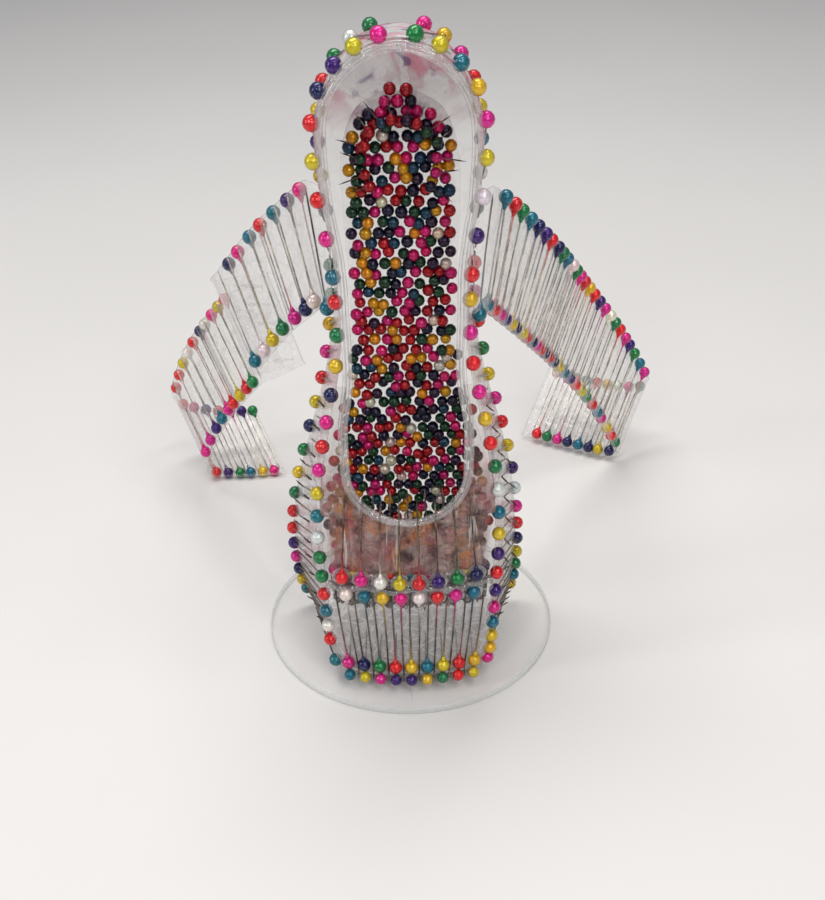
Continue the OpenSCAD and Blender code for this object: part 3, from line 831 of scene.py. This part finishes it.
def measure_pin(points):
    """Where one pin's head is, how big it is, and the corners of its shaft."""
    centre, radius = np.median(points, axis=0), 0.0
    for reach in HEAD_REACHES:
        near = points[np.linalg.norm(points - centre, axis=1) < reach]
        centre, radius = fit_ball(near)
    off = points[np.linalg.norm(points - centre, axis=1) > radius + OFF_HEAD]
    elbow = np.median(off, axis=0)
    far = off[np.linalg.norm(off - elbow, axis=1) > HOOK_REACH]
    if len(far) == 0:
        return centre, radius, [off.mean(axis=0)]
    close = off[np.linalg.norm(off - elbow, axis=1) <= HOOK_REACH]
    return centre, radius, [fit_ball(close)[0], far.mean(axis=0)]


def in_order(pins, rule):
    """The pins in the order in which their colours run."""
    keys = {
        "x": lambda pin: pin[0][0],
        "y": lambda pin: pin[0][1],
        "fall": lambda pin: -pin[0][2],
        "arch": lambda pin: (pin[0][0] > 0, -pin[0][2]),
    }
    return sorted(pins, key=keys[rule])


def shaft_line(centre, corners, rng):
    """Points along a shaft, with its thickness and how strongly the head's colour is painted on it as a
    reflection.
    """
    tip = corners[0]
    go = unit(tip - centre)
    side = unit(np.cross(go, (0.3, 0.5, 0.8)))
    bow = side * rng.uniform(-BOW, BOW)
    hooked = len(corners) > 1
    reach = np.linalg.norm(tip - centre) - (HOOK_REACH if hooked else 0.0)
    line = []
    for share in (0.0, 0.12, 0.22, 0.5, 0.8, 1.0):
        point = share == 1.0 and not hooked
        if point:
            line.append((centre + go * (reach - 0.0025), 1.0, 0.0))
        place = centre + go * (share * reach) + bow * math.sin(math.pi * share)
        # the head's painted reflection fades out over the top 30% of the shaft
        line.append((place, 0.15 if point else 1.0, max(0.0, 1 - share / 0.3)))
    if hooked:
        away = unit(corners[1] - tip)
        line.append((tip - go * 0.0003 + away * 0.0003, 1.0, 0.0))
        line.append((tip + away * 0.0012, 1.0, 0.0))
        line.append((corners[1] - away * 0.0015, 1.0, 0.0))
        line.append((corners[1], 0.15, 0.0))
    return line


def named_mesh(name, points, edges, numbers):
    """A mesh of bare points or lines that carries attributes for a node tree."""
    mesh = bpy.data.meshes.new(name)
    mesh.from_pydata([tuple(p) for p in points], edges, [])
    for key, (kind, values) in numbers.items():
        attribute = mesh.attributes.new(key, kind, "POINT")
        field = {"FLOAT": "value", "FLOAT_VECTOR": "vector", "FLOAT_COLOR": "color"}[kind]
        attribute.data.foreach_set(field, np.array(values, np.float32).reshape(-1))
    return mesh


class Tree:
    """A Geometry Nodes tree under construction."""

    def __init__(self, name, inputs):
        self.group = bpy.data.node_groups.new(name, "GeometryNodeTree")
        face = self.group.interface
        face.new_socket("Geometry", in_out="INPUT", socket_type="NodeSocketGeometry")
        self.names = {}
        for label, (kind, default) in inputs.items():
            made = face.new_socket(label, in_out="INPUT", socket_type=kind)
            if default is not None:
                made.default_value = default
            self.names[label] = made.identifier
        face.new_socket("Geometry", in_out="OUTPUT", socket_type="NodeSocketGeometry")
        self.source = self.group.nodes.new("NodeGroupInput")

    def asked(self, label):
        return self.source.outputs[label]

    def node(self, kind, settings=None, sockets=None):
        made = self.group.nodes.new(kind)
        for name, value in (settings or {}).items():
            setattr(made, name, value)
        for name, value in (sockets or {}).items():
            if isinstance(value, bpy.types.NodeSocket):
                self.group.links.new(value, made.inputs[name])
            else:
                made.inputs[name].default_value = value
        return made

    def named(self, name, kind):
        """A named attribute of that data type."""
        made = self.node("GeometryNodeInputNamedAttribute", {"data_type": kind}, {"Name": name})
        return made.outputs["Attribute"]

    def join(self, *parts):
        made = self.node("GeometryNodeJoinGeometry")
        for part in parts:
            self.group.links.new(part, made.inputs[0])
        return made.outputs[0]

    def end(self, geometry):
        real = self.node("GeometryNodeRealizeInstances", None, {"Geometry": geometry}).outputs[0]
        smooth = self.node("GeometryNodeSetShadeSmooth", None, {"Geometry": real}).outputs[0]
        sockets = {"Geometry": smooth, "Material": self.asked("Material")}
        done = self.node("GeometryNodeSetMaterial", None, sockets).outputs[0]
        out = self.group.nodes.new("NodeGroupOutput")
        self.group.links.new(done, out.inputs[0])
        return self


def head_tree():
    """A ball and its tapering neck on every point."""
    t = Tree("Ball heads", {
        "Segments": ("NodeSocketInt", 12), "Rings": ("NodeSocketInt", 8), "Neck": ("NodeSocketFloat", 0.95),
        "Neck width": ("NodeSocketFloat", 0.46), "Material": ("NodeSocketMaterial", None),
    })
    ball = t.node("GeometryNodeMeshUVSphere", None, {
        "Segments": t.asked("Segments"), "Rings": t.asked("Rings"), "Radius": 1.0}).outputs["Mesh"]
    cone = t.node("GeometryNodeMeshCone", None, {
        "Vertices": 8, "Side Segments": 2, "Radius Top": 0.17, "Radius Bottom": t.asked("Neck width"),
        "Depth": t.asked("Neck")}).outputs["Mesh"]
    lift = t.node("ShaderNodeCombineXYZ", None, {"Z": 0.84}).outputs[0]
    neck = t.node("GeometryNodeTransform", None, {"Geometry": cone, "Translation": lift}).outputs[0]
    aim = {"Vector": t.named("aim", "FLOAT_VECTOR")}
    turn = t.node("FunctionNodeAlignRotationToVector", {"axis": "Z"}, aim)
    stood = t.node("GeometryNodeInstanceOnPoints", None, {
        "Points": t.asked("Geometry"), "Instance": t.join(ball, neck), "Rotation": turn.outputs[0],
        "Scale": t.named("size", "FLOAT")}).outputs[0]
    return t.end(stood)


def shaft_tree():
    """A round wire along every line, thinning to its point."""
    t = Tree("Pin shafts", {
        "Wire": ("NodeSocketFloat", 0.00034), "Sides": ("NodeSocketInt", 6),
        "Material": ("NodeSocketMaterial", None),
    })
    line = t.node("GeometryNodeMeshToCurve", None, {"Mesh": t.asked("Geometry")}).outputs[0]
    sockets = {"Resolution": t.asked("Sides"), "Radius": t.asked("Wire")}
    ring = t.node("GeometryNodeCurvePrimitiveCircle", None, sockets).outputs["Curve"]
    wire = t.node("GeometryNodeCurveToMesh", None, {
        "Curve": line, "Profile Curve": ring, "Scale": t.named("wire", "FLOAT"), "Fill Caps": True})
    return t.end(wire.outputs[0])


def grown(name, mesh, tree, values):
    """The plain mesh that a tree makes of a carrier mesh."""
    carrier = bpy.data.objects.new(name + "_carrier", mesh)
    bpy.context.scene.collection.objects.link(carrier)
    modifier = carrier.modifiers.new("grow", "NODES")
    modifier.node_group = tree.group
    for label, value in values.items():
        modifier[tree.names[label]] = value
    depsgraph = bpy.context.evaluated_depsgraph_get()
    made = bpy.data.meshes.new_from_object(carrier.evaluated_get(depsgraph), depsgraph=depsgraph)
    made.name = name
    bpy.data.objects.remove(carrier)
    return made


# --- pieces --------------------------------------------------------------------------------------


def film_piece(name, node, grid, material, wave, seed, thick=1.0, crumple=1.0):
    """One of the shoe's films, over a grid of points and in place of one CAD node."""
    film = bpy.context.scene.pointe_film
    mesh = shell(name, grid, film.thickness * thick, film.crinkle * crumple, wave, seed)
    new_piece(name, mesh, material, "shoe", [node])


class Piece:
    """What every operator of the shoe shares."""

    bl_options = {"REGISTER", "UNDO"}

    def execute(self, context):
        self.build(context.scene)
        return {"FINISHED"}


class POINTE_OT_disc(Piece, bpy.types.Operator):
    """Build the clear disc that the shoe stands on"""

    bl_idname = "pointe.disc"
    bl_label = "Clear Disc"

    def build(self, scene):
        low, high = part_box("base_disc")
        radius, top = (high.x - low.x) / 2, high.z - low.z
        soft = 0.0005  # the radius of its rounded edges
        profile = [(0.0, 0.0)]
        profile += [(radius * share, 0.0) for share in (0.3, 0.6, 0.9)]
        for a in range(0, 91, 18):
            turn = math.radians(a)
            profile.append((radius - soft + soft * math.sin(turn), soft - soft * math.cos(turn)))
        for a in range(0, 91, 18):
            turn = math.radians(a)
            profile.append((radius - soft + soft * math.cos(turn), top - soft + soft * math.sin(turn)))
        profile += [(radius * share, top) for share in (0.9, 0.6, 0.3)]
        profile.append((0.0, top))
        steps = 144
        points, faces = [], []
        for k in range(steps):
            a = 2 * math.pi * k / steps
            points += [(r * math.cos(a), r * math.sin(a), z + low.z) for r, z in profile]
        n = len(profile)
        for k in range(steps):
            m = (k + 1) % steps
            faces += [(k * n + i, m * n + i, m * n + i + 1, k * n + i + 1) for i in range(n - 1)]
        mesh = tidy_mesh(mesh_from("clear_disc", points, faces))
        material = finish("polished_acrylic", disc_finish, radius)
        new_piece("clear_disc", mesh, material, "shoe", ["base_disc"])


class POINTE_OT_foot(Piece, bpy.types.Operator):
    """Finish the glued platform under the toe, and build the glue where the left ribbon is lapped"""

    bl_idname = "pointe.foot"
    bl_label = "Toe Platform"

    def build(self, scene):
        finished = {"toe_platform": film_material("platform"), "toe_glue_pad": clear_material("set_glue")}
        for node, material in finished.items():
            mesh = NODES[node].data
            mesh.materials.clear()
            mesh.materials.append(material)
        lumps = []
        for solid in loose_parts(NODES["left_lap_glue"]):
            low, high = solid.min(axis=0), solid.max(axis=0)
            middle = (low + high) / 2
            away = solid[np.argmax(np.linalg.norm(solid - middle, axis=1))] - middle
            path = [(middle + away * t) / MM for t in np.linspace(-0.9, 0.9, 15)]
            sizes = [0.0006 + 0.0005 * noise.noise(Vector(q) * 0.6) for q in path]
            lumps.append(tube("lump", path, sizes, 10, False, 0.0006, 0.0016))
        mesh = join_meshes("lap_glue_lumps", lumps)
        glue = clear_material("clear_glue")
        new_piece("lap_glue_lumps", mesh, glue, "left_ribbon_second", ["left_lap_glue"])


class POINTE_OT_walls(Piece, bpy.types.Operator):
    """Build the film walls: toe sides, quarters and heel cup"""

    bl_idname = "pointe.walls"
    bl_label = "Side Walls and Heel"

    def build(self, scene):
        across = np.linspace(0, 1, 25)
        spans = {"toe_side": (START, TOE_END), "quarter": (TOE_END, QUARTER_END)}
        for name, (start, stop) in spans.items():
            for side_name, side in (("left", -1), ("right", 1)):
                steps = np.linspace(start, stop, int((stop - start) * 11))
                grid = [[side_point(k, v, side) for v in across] for k in steps]
                node = f"{side_name}_{name}"
                film_piece(node + "_wall", node, grid, film_material("wall"), 0.012, start + side)
        grid = []
        for i in np.linspace(-1, 1, 90):
            k = LAST - (LAST - QUARTER_END) * abs(i)
            side = 1 if i >= 0 else -1
            grid.append([side_point(k, v, side) for v in across])
        film_piece("heel_cup_wall", "heel_cup", grid, film_material("heel"), 0.012, 5.0)


class POINTE_OT_soles(Piece, bpy.types.Operator):
    """Build the outsole film and the insole sheet that holds the inner pins"""

    bl_idname = "pointe.soles"
    bl_label = "Outsole and Insole"

    def build(self, scene):
        across = np.linspace(0, 1, 37)
        grid = []
        for k in np.linspace(START, LAST - 0.04, 100):
            left, right = side_point(k, 0, -1), side_point(k, 0, 1)
            grid.append([left * (1 - v) + right * v + (0, 0.5, 0) for v in across])
        film_piece("outsole_film_sheet", "outsole_film", grid, film_material("sole"), 0.016, 2.0)
        low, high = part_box("insole_sheet")
        middle = (low.y + high.y) / 2 / MM
        grid = []
        last = len(INSOLE) - 1
        for place in np.linspace(0, last, 90):
            half, z = along(INSOLE, place)
            grid.append([np.array((half * (2 * v - 1), middle, z)) for v in across])
        film_piece("insole_film_sheet", "insole_sheet", grid, film_material("sole"), 0.01, 3.0, 1.6, 0.6)


class POINTE_OT_vamp(Piece, bpy.types.Operator):
    """Build the two tiers of the vamp and its wings beside the opening"""

    bl_idname = "pointe.vamp"
    bl_label = "Vamp"

    def build(self, scene):
        tiers = {
            "vamp_lower_panel": (5.2, SEAM_Z, 0, film_material("toe")),
            "vamp_upper_panel": (SEAM_Z, THROAT_Z, 1.3, finish("frosted_film", frosted_finish)),
        }
        for node, (low, high, back, material) in tiers.items():
            grid = [[vamp_point(u, z) + (0, back, 0) for u in np.linspace(-1, 1, 57)]
                    for z in np.linspace(low, high, 36)]
            film_piece(node + "_film", node, grid, material, 0.01, low)
        for side_name, side in (("left", -1), ("right", 1)):
            grid = []
            for s in np.linspace(0, 1, 44):
                z = THROAT_Z + 0.4 + (WING_TOP - THROAT_Z - 0.4) * s**1.7
                a = max(opening_width(z) + 0.2, 0.6) / front_width(z)
                grid.append([vamp_point(side * (a + (1 - a) * v), z) for v in np.linspace(0, 1, 22)])
            node = f"{side_name}_vamp_wing"
            frosted = finish("frosted_wing_film", frosted_finish, True)
            film_piece(node + "_film", node, grid, frosted, 0.01, side, 1.0, 0.7)


class POINTE_OT_binding(Piece, bpy.types.Operator):
    """Build the thick clear strip round the opening"""

    bl_idname = "pointe.binding"
    bl_label = "Opening Binding"

    def build(self, scene):
        steps = 90
        ring = [opening_point(i / steps, 1) for i in range(steps + 1)]
        ring += [opening_point(i / steps, -1) for i in range(steps - 1, 0, -1)]
        layers = []
        for offset, radius in ((-1.0, 0.00075), (0.0, 0.0009), (1.05, 0.00065)):
            path = []
            n = len(ring)
            for i, p in enumerate(ring):
                go = unit(ring[(i + 1) % n] - ring[i - 1])
                path.append(p + unit(np.cross(go, (0, 1, 0))) * offset + (0, -0.2 * offset, 0))
            layers.append(tube("strand", path, radius, 10, True, 0.00018, 0.006, 1.3))
        mesh = join_meshes("opening_binding_strip", layers)
        strip = clear_material("clear_strip")
        new_piece("opening_binding_strip", mesh, strip, "shoe", ["opening_binding"])


class POINTE_OT_seam(Piece, bpy.types.Operator):
    """Build the lumpy band of glue between the tiers of the vamp"""

    bl_idname = "pointe.seam"
    bl_label = "Seam Glue"

    def build(self, scene):
        path, sizes = [], []
        for i in range(81):
            u = -0.98 + 1.96 * i / 80
            path.append(vamp_point(u, SEAM_Z - 0.4 + 0.7 * math.sin(9 * u)) + (0, 0.4, 0))
            lump = 0.0003 * noise.noise(Vector((u * 9, 0, 0)))
            sizes.append(0.0013 + 0.0005 * math.sin(17 * u) ** 2 + lump)
        band = tube("vamp_seam_band", path, sizes, 16, False, 0.0009, 0.0022, 1.2)
        drops = []
        for row in ("vamp_throat_pins", "vamp_falling_pins"):
            for solid in loose_parts(NODES[row]):
                centre, radius, _ = measure_pin(solid)
                drops.append(self.collar(centre, radius))
        drops = join_meshes("vamp_seam_drops", drops)
        for mesh, glue in ((band, "set_glue"), (drops, "halo_glue")):
            new_piece(mesh.name, mesh, clear_material(glue), "shoe", ["vamp_seam_glue"])
        self.crumple(scene)

    def collar(self, centre, radius):
        """A drop of set glue round a pin's head."""
        bm = bmesh.new()
        bmesh.ops.create_icosphere(bm, subdivisions=3, radius=radius * 1.6)
        for vertex in bm.verts:
            wobble = noise.noise((vertex.co + Vector(centre)) / 0.0021)
            vertex.co *= 1 + 0.16 * wobble
            vertex.co.y *= 0.45
            vertex.co += Vector(centre) + Vector((0, 0.0011, 0))
        mesh = bpy.data.meshes.new("collar")
        bm.to_mesh(mesh)
        bm.free()
        return mesh

    def crumple(self, scene):
        """The crumpled film where the two tiers of the vamp are pressed together."""
        grid = []
        for row in np.linspace(0, 1, 30):
            line = []
            for u in np.linspace(-0.93, 0.93, 120):
                ragged = 1.6 * noise.noise(Vector((u * 9, 3, 1)))
                ragged += 1.1 * noise.noise(Vector((u * 31, 5, 1)))
                low, high = SEAM_Z - 8.0 + ragged * 2.0, SEAM_Z + 4.5 + ragged * 1.5
                line.append(vamp_point(u, low + (high - low) * row) + (0, -0.5, 0))
            grid.append(line)
        mesh = shell("vamp_seam_crumple", grid, scene.pointe_film.thickness * 0.6, 0.0016, 0.0034, 8.0)
        material = finish("crumpled_film", crumple_finish)
        new_piece("vamp_seam_crumple", mesh, material, "shoe", ["vamp_seam_glue"])


class POINTE_OT_pins(Piece, bpy.types.Operator):
    """Build every pin's head and shaft in place of its plain CAD solid"""

    bl_idname = "pointe.pins"
    bl_label = "Pins"

    def build(self, scene):
        s = scene.pointe_pins
        heads, shafts = head_tree(), shaft_tree()
        bright = finish("pearly_heads", head_finish, 0.14, 0.35)
        deep = finish("insole_heads", head_finish, 0.03, 0.5)
        dull = finish("dull_wire", shaft_finish, (0.07, 0.055, 0.042), (0.26, 0.21, 0.17))
        plated = finish("plated_wire", shaft_finish, (0.3, 0.26, 0.21), (0.72, 0.66, 0.56))
        rng = random.Random(s.seed)
        for node in sorted(NODES):
            if not node.endswith(("_pins", "_pin")):
                continue
            row = node.rsplit("_", 1)[0]
            pins = [measure_pin(part) for part in loose_parts(NODES[node])]
            if row in INSOLE_ROWS:
                pins = in_order(pins, "fall")
                # the insole's heads take the darker palette, as painted shade inside the shoe
                inks = [SHADED_INKS[rng.choice(INSOLE_MIX)] for _ in pins]
                pins = [self.jostle(pin, rng) for pin in pins]
                shape = {"Segments": INSOLE_SEGMENTS, "Rings": INSOLE_RINGS, "Neck": s.neck * INSOLE_NECK,
                         "Material": deep}
            else:
                colours, rule = PIN_ROWS.get(row, LONE_PIN)
                pins = [(centre, radius * s.swell, corners) for centre, radius, corners in pins]
                pins = in_order(pins, rule)
                inks = [INKS[colours[i % len(colours)]] for i in range(len(pins))]
                shape = {"Segments": s.segments, "Rings": s.rings, "Neck": s.neck, "Material": bright}
            inks = [tuple(min(1.0, c * rng.uniform(*SHADE)) for c in ink) for ink in inks]
            self.place_heads(node, pins, inks, heads, shape)
            gauge = s.fine if row == "heel_stray" else 1.0
            wire = dull if NODES[node]["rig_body"] == "shoe" else plated
            shape = {"Wire": s.wire * gauge, "Sides": s.sides, "Material": wire}
            self.place_shafts(node, pins, inks, shafts, shape, rng)

    def jostle(self, pin, rng):
        """A pin of the insole, pushed a little out of line with its neighbours."""
        centre, radius, corners = pin
        push = np.array([rng.gauss(0, SLIP), -abs(rng.gauss(0, SINK)), rng.gauss(0, SLIP)])
        return centre + push, radius * rng.uniform(*INSOLE_SWELL), [c + push * FOLLOW for c in corners]

    def place_heads(self, node, pins, inks, tree, shape):
        carrier = named_mesh(node + "_points", [p[0] for p in pins], [], {
            "aim": ("FLOAT_VECTOR", [unit(p[2][0] - p[0]) for p in pins]),
            "size": ("FLOAT", [p[1] for p in pins]),
            "tint": ("FLOAT_COLOR", [(*ink, 1) for ink in inks]),
        })
        mesh = grown(node + "_heads", carrier, tree, shape)
        body = NODES[node]["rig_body"]
        new_piece(node.replace("_pin", "_head"), mesh, shape["Material"], body, [node])

    def place_shafts(self, node, pins, inks, tree, shape, rng):
        points, edges, width, head_reflection, tint = [], [], [], [], []
        for (centre, _, corners), ink in zip(pins, inks):
            line = shaft_line(centre, corners, rng)
            start = len(points)
            points += [entry[0] for entry in line]
            width += [entry[1] for entry in line]
            # strength of the head's painted reflection at each point of the shaft
            head_reflection += [entry[2] for entry in line]
            tint += [(*ink, 1)] * len(line)
            edges += [(start + i, start + i + 1) for i in range(len(line) - 1)]
        carrier = named_mesh(node + "_lines", points, edges, {
            "wire": ("FLOAT", width), "head_reflection": ("FLOAT", head_reflection), "tint": ("FLOAT_COLOR", tint),
        })
        mesh = grown(node + "_shafts", carrier, tree, shape)
        body = NODES[node]["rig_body"]
        new_piece(node.replace("_pin", "_shaft"), mesh, shape["Material"], body, [node])


def across_hinge(edge, pins, fold):
    """Two points on either side of a ribbon's hinge line, square to it."""
    axis = unit(along(pins, fold))
    middle = along(edge, fold)

    def square(v):
        return unit(v - axis * (v @ axis))

    before = square(middle - along(edge, max(fold - HINGE_STEP, 0.0))) if fold > 0 else None
    after = square(along(edge, fold + HINGE_STEP) - middle)
    go = after if before is None else unit(before + after)
    return (middle - go * HINGE_REACH) * MM, (middle + go * HINGE_REACH) * MM


LEFT, SECOND, RIGHT = (LEFT_EDGE, LEFT_PIN), (SECOND_EDGE, SECOND_PIN), (RIGHT_EDGE, RIGHT_PIN)

# Each length of ribbon film: its line, where it starts and stops along that, its body or the two bodies
# that it spans, the place of the hinge between them, its CAD nodes, and the side of the shoe that its tab is
# on
STRIPS = {
    "left_root_film": (LEFT, 0, 1.8, ("shoe", "left_ribbon_first"), 0.0,
                       ("left_root_tab", "left_ribbon_first_film"), -1),
    "left_turn_film": (LEFT, 1.8, 6, ("left_ribbon_first", "left_ribbon_second"), LEFT_FOLD,
                       ("left_ribbon_first_film", "left_fold_film"), 0),
    "left_second_film": (SECOND, 0, 2.6, "left_ribbon_second", None, ("left_ribbon_second_film",), 0),
    "left_end_film": (SECOND, 2.6, 8, ("left_ribbon_second", "left_tail"), TAIL_FOLD,
                      ("left_ribbon_second_film", "left_tail_film"), 0),
    "right_root_film": (RIGHT, 0, 2.5, ("shoe", "right_ribbon"), 0.0,
                        ("right_root_tab", "right_ribbon_film"), 1),
    "right_end_film": (RIGHT, 2.5, 9, ("right_ribbon", "right_tail"), RIGHT_FOLD,
                       ("right_ribbon_film", "right_tail_film"), 0),
}
EDGE = (0, 0.006, 0.012, 0.02, 0.03)  # places across a ribbon, close together along its beaded edges
FAR_EDGE = (0.97, 0.98, 0.988, 0.994, 1)
BEAD_SHARE = 0.022  # how much of the width one bead takes up


class POINTE_OT_ribbons(Piece, bpy.types.Operator):
    """Build the ribbons' film, in lengths that meet at the roots and folds"""

    bl_idname = "pointe.ribbons"
    bl_label = "Ribbons"

    def build(self, scene):
        for name, details in STRIPS.items():
            self.strip(scene.pointe_film, name, *details)

    def strip(self, film, name, line, start, stop, bodies, fold, replaced, tab):
        across = [*EDGE, *np.linspace(0.06, 0.94, 15), *FAR_EDGE]
        beads = [max(0.0, 1 - min(v, 1 - v) / BEAD_SHARE) ** 0.5 for v in across]
        thick = [film.thickness + film.bead * b for b in beads]
        grid = [[strip_point(*line, t, v) for v in across]
                for t in np.linspace(start, stop, int((stop - start) * 14) + 2)]
        if tab:
            foot = []
            for v in across:
                p = strip_point(*line, 0, 0.02 + 0.96 * v)
                foot.append(np.array((tab * ROOT_X, p[1] - ROOT_BACK, p[2])))
            root = grid[0]
            grid = [[foot[j] * (1 - s) + root[j] * s for j in range(len(across))]
                    for s in (0, 0.2, 0.4, 0.6, 0.8)] + grid
        mesh = shell(name, grid, thick, film.crinkle, 0.009, start + len(name))
        if fold is not None:
            bodies = (*bodies, *across_hinge(*line, fold))
        new_piece(name, mesh, film_material("ribbon"), bodies, replaced)


SENSOR, LENS, SHIFT = 36.0, 49.274, 110 / 900
PITCH, ROLL, CAMERA = 36.6, -1.245, (0.0013, -0.4124, 0.3373)


class POINTE_OT_stage(Piece, bpy.types.Operator):
    """Set the pale floor, the soft lights and the camera"""

    bl_idname = "pointe.stage"
    bl_label = "Stage"

    def build(self, scene):
        s = scene.pointe_stage
        mesh = mesh_from("floor", [(-6, -6, 0), (6, -6, 0), (6, 6, 0), (-6, 6, 0)], [(0, 1, 2, 3)])
        mesh.materials.append(finish("painted_floor", floor_finish, s.floor))
        floor = bpy.data.objects.new("floor", mesh)
        scene.collection.objects.link(floor)
        world = bpy.data.worlds.new("studio")
        scene.world = world
        world.use_nodes = True
        sky = world.node_tree.nodes["Background"].inputs
        sky["Color"].default_value, sky["Strength"].default_value = (0.92, 0.94, 1.0, 1), 0.3
        lamps = (  # name, place, aim, size, power and colour
            ("key", (-0.15, 0.35, 1.3), (0, 0, 0.05), (1.0, 0.35), s.key, (1, 0.97, 0.93)),
            ("tube", (0.35, -0.35, 1.3), (0, 0, 0.1), (0.9, 0.1), s.key * 0.35, (1, 0.98, 0.95)),
            ("fill", (0.5, -1.3, 0.9), (0, 0, 0.12), (0.8, 0.5), s.fill, (1, 0.98, 0.96)),
            ("strip", (-1.1, -0.3, 0.6), (0, 0, 0.12), (0.2, 0.6), s.fill * 0.6, (0.95, 0.97, 1)),
            ("left_glint", (-0.35, -0.8, 0.85), (0, 0, 0.12), (0.09, 0.09), s.glint, (1, 1, 1)),
            ("right_glint", (0.4, -0.65, 0.95), (0, 0, 0.12), (0.09, 0.09), s.glint, (1, 1, 1)),
        )
        for name, place, aim, size, power, colour in lamps:
            lamp = bpy.data.lights.new(name, "AREA")
            lamp.shape, lamp.energy, lamp.color = "RECTANGLE", power, colour
            lamp.size, lamp.size_y = size
            obj = bpy.data.objects.new(name, lamp)
            obj.location = place
            obj.rotation_euler = (Vector(aim) - Vector(place)).to_track_quat("-Z", "Y").to_euler()
            scene.collection.objects.link(obj)
        self.camera(scene)
        scene.view_settings.view_transform = "Standard"

    def camera(self, scene):
        """A camera in front of the shoe and above it, looking down and leaning a little."""
        lens = bpy.data.cameras.new("camera")
        lens.sensor_width, lens.lens, lens.shift_y = SENSOR, LENS, SHIFT
        lens.clip_start = 0.01
        obj = bpy.data.objects.new("camera", lens)
        pitch, roll = math.radians(PITCH), math.radians(ROLL)
        forward = Vector((0, math.cos(pitch), -math.sin(pitch)))
        up = Vector((0, math.sin(pitch), math.cos(pitch)))
        right = Vector((1, 0, 0))
        turned = right * math.cos(roll) + up * math.sin(roll)
        raised = up * math.cos(roll) - right * math.sin(roll)
        turn = Matrix((turned, raised, -forward)).transposed()
        obj.matrix_world = Matrix.Translation(CAMERA) @ turn.to_4x4()
        scene.collection.objects.link(obj)
        scene.camera = obj


OPERATORS = (
    POINTE_OT_disc, POINTE_OT_foot, POINTE_OT_walls, POINTE_OT_soles, POINTE_OT_vamp, POINTE_OT_binding,
    POINTE_OT_seam, POINTE_OT_ribbons, POINTE_OT_pins, POINTE_OT_stage,
)
SETTINGS = {"pointe_film": FilmSettings, "pointe_pins": PinSettings, "pointe_stage": StageSettings}


class POINTE_PT_panel(bpy.types.Panel):
    """The shoe's sizes and the buttons that build it"""

    bl_idname = "POINTE_PT_panel"
    bl_label = "Pointe Shoe"
    bl_space_type = "VIEW_3D"
    bl_region_type = "UI"
    bl_category = "Pointe Shoe"

    def draw(self, context):
        for key, group in SETTINGS.items():
            box = self.layout.box()
            for name in group.__annotations__:
                box.prop(getattr(context.scene, key), name)
        for operator in OPERATORS:
            self.layout.operator(operator.bl_idname)


def register():
    for cls in (*SETTINGS.values(), *OPERATORS, POINTE_PT_panel):
        bpy.utils.register_class(cls)
    for key, group in SETTINGS.items():
        setattr(bpy.types.Scene, key, bpy.props.PointerProperty(type=group))


def unregister():
    for key in SETTINGS:
        delattr(bpy.types.Scene, key)
    for cls in reversed((*SETTINGS.values(), *OPERATORS, POINTE_PT_panel)):
        bpy.utils.unregister_class(cls)


def main():
    register()
    for operator in OPERATORS:
        group, name = operator.bl_idname.split(".")
        getattr(getattr(bpy.ops, group), name)()


if __name__ == "__main__":
    main()
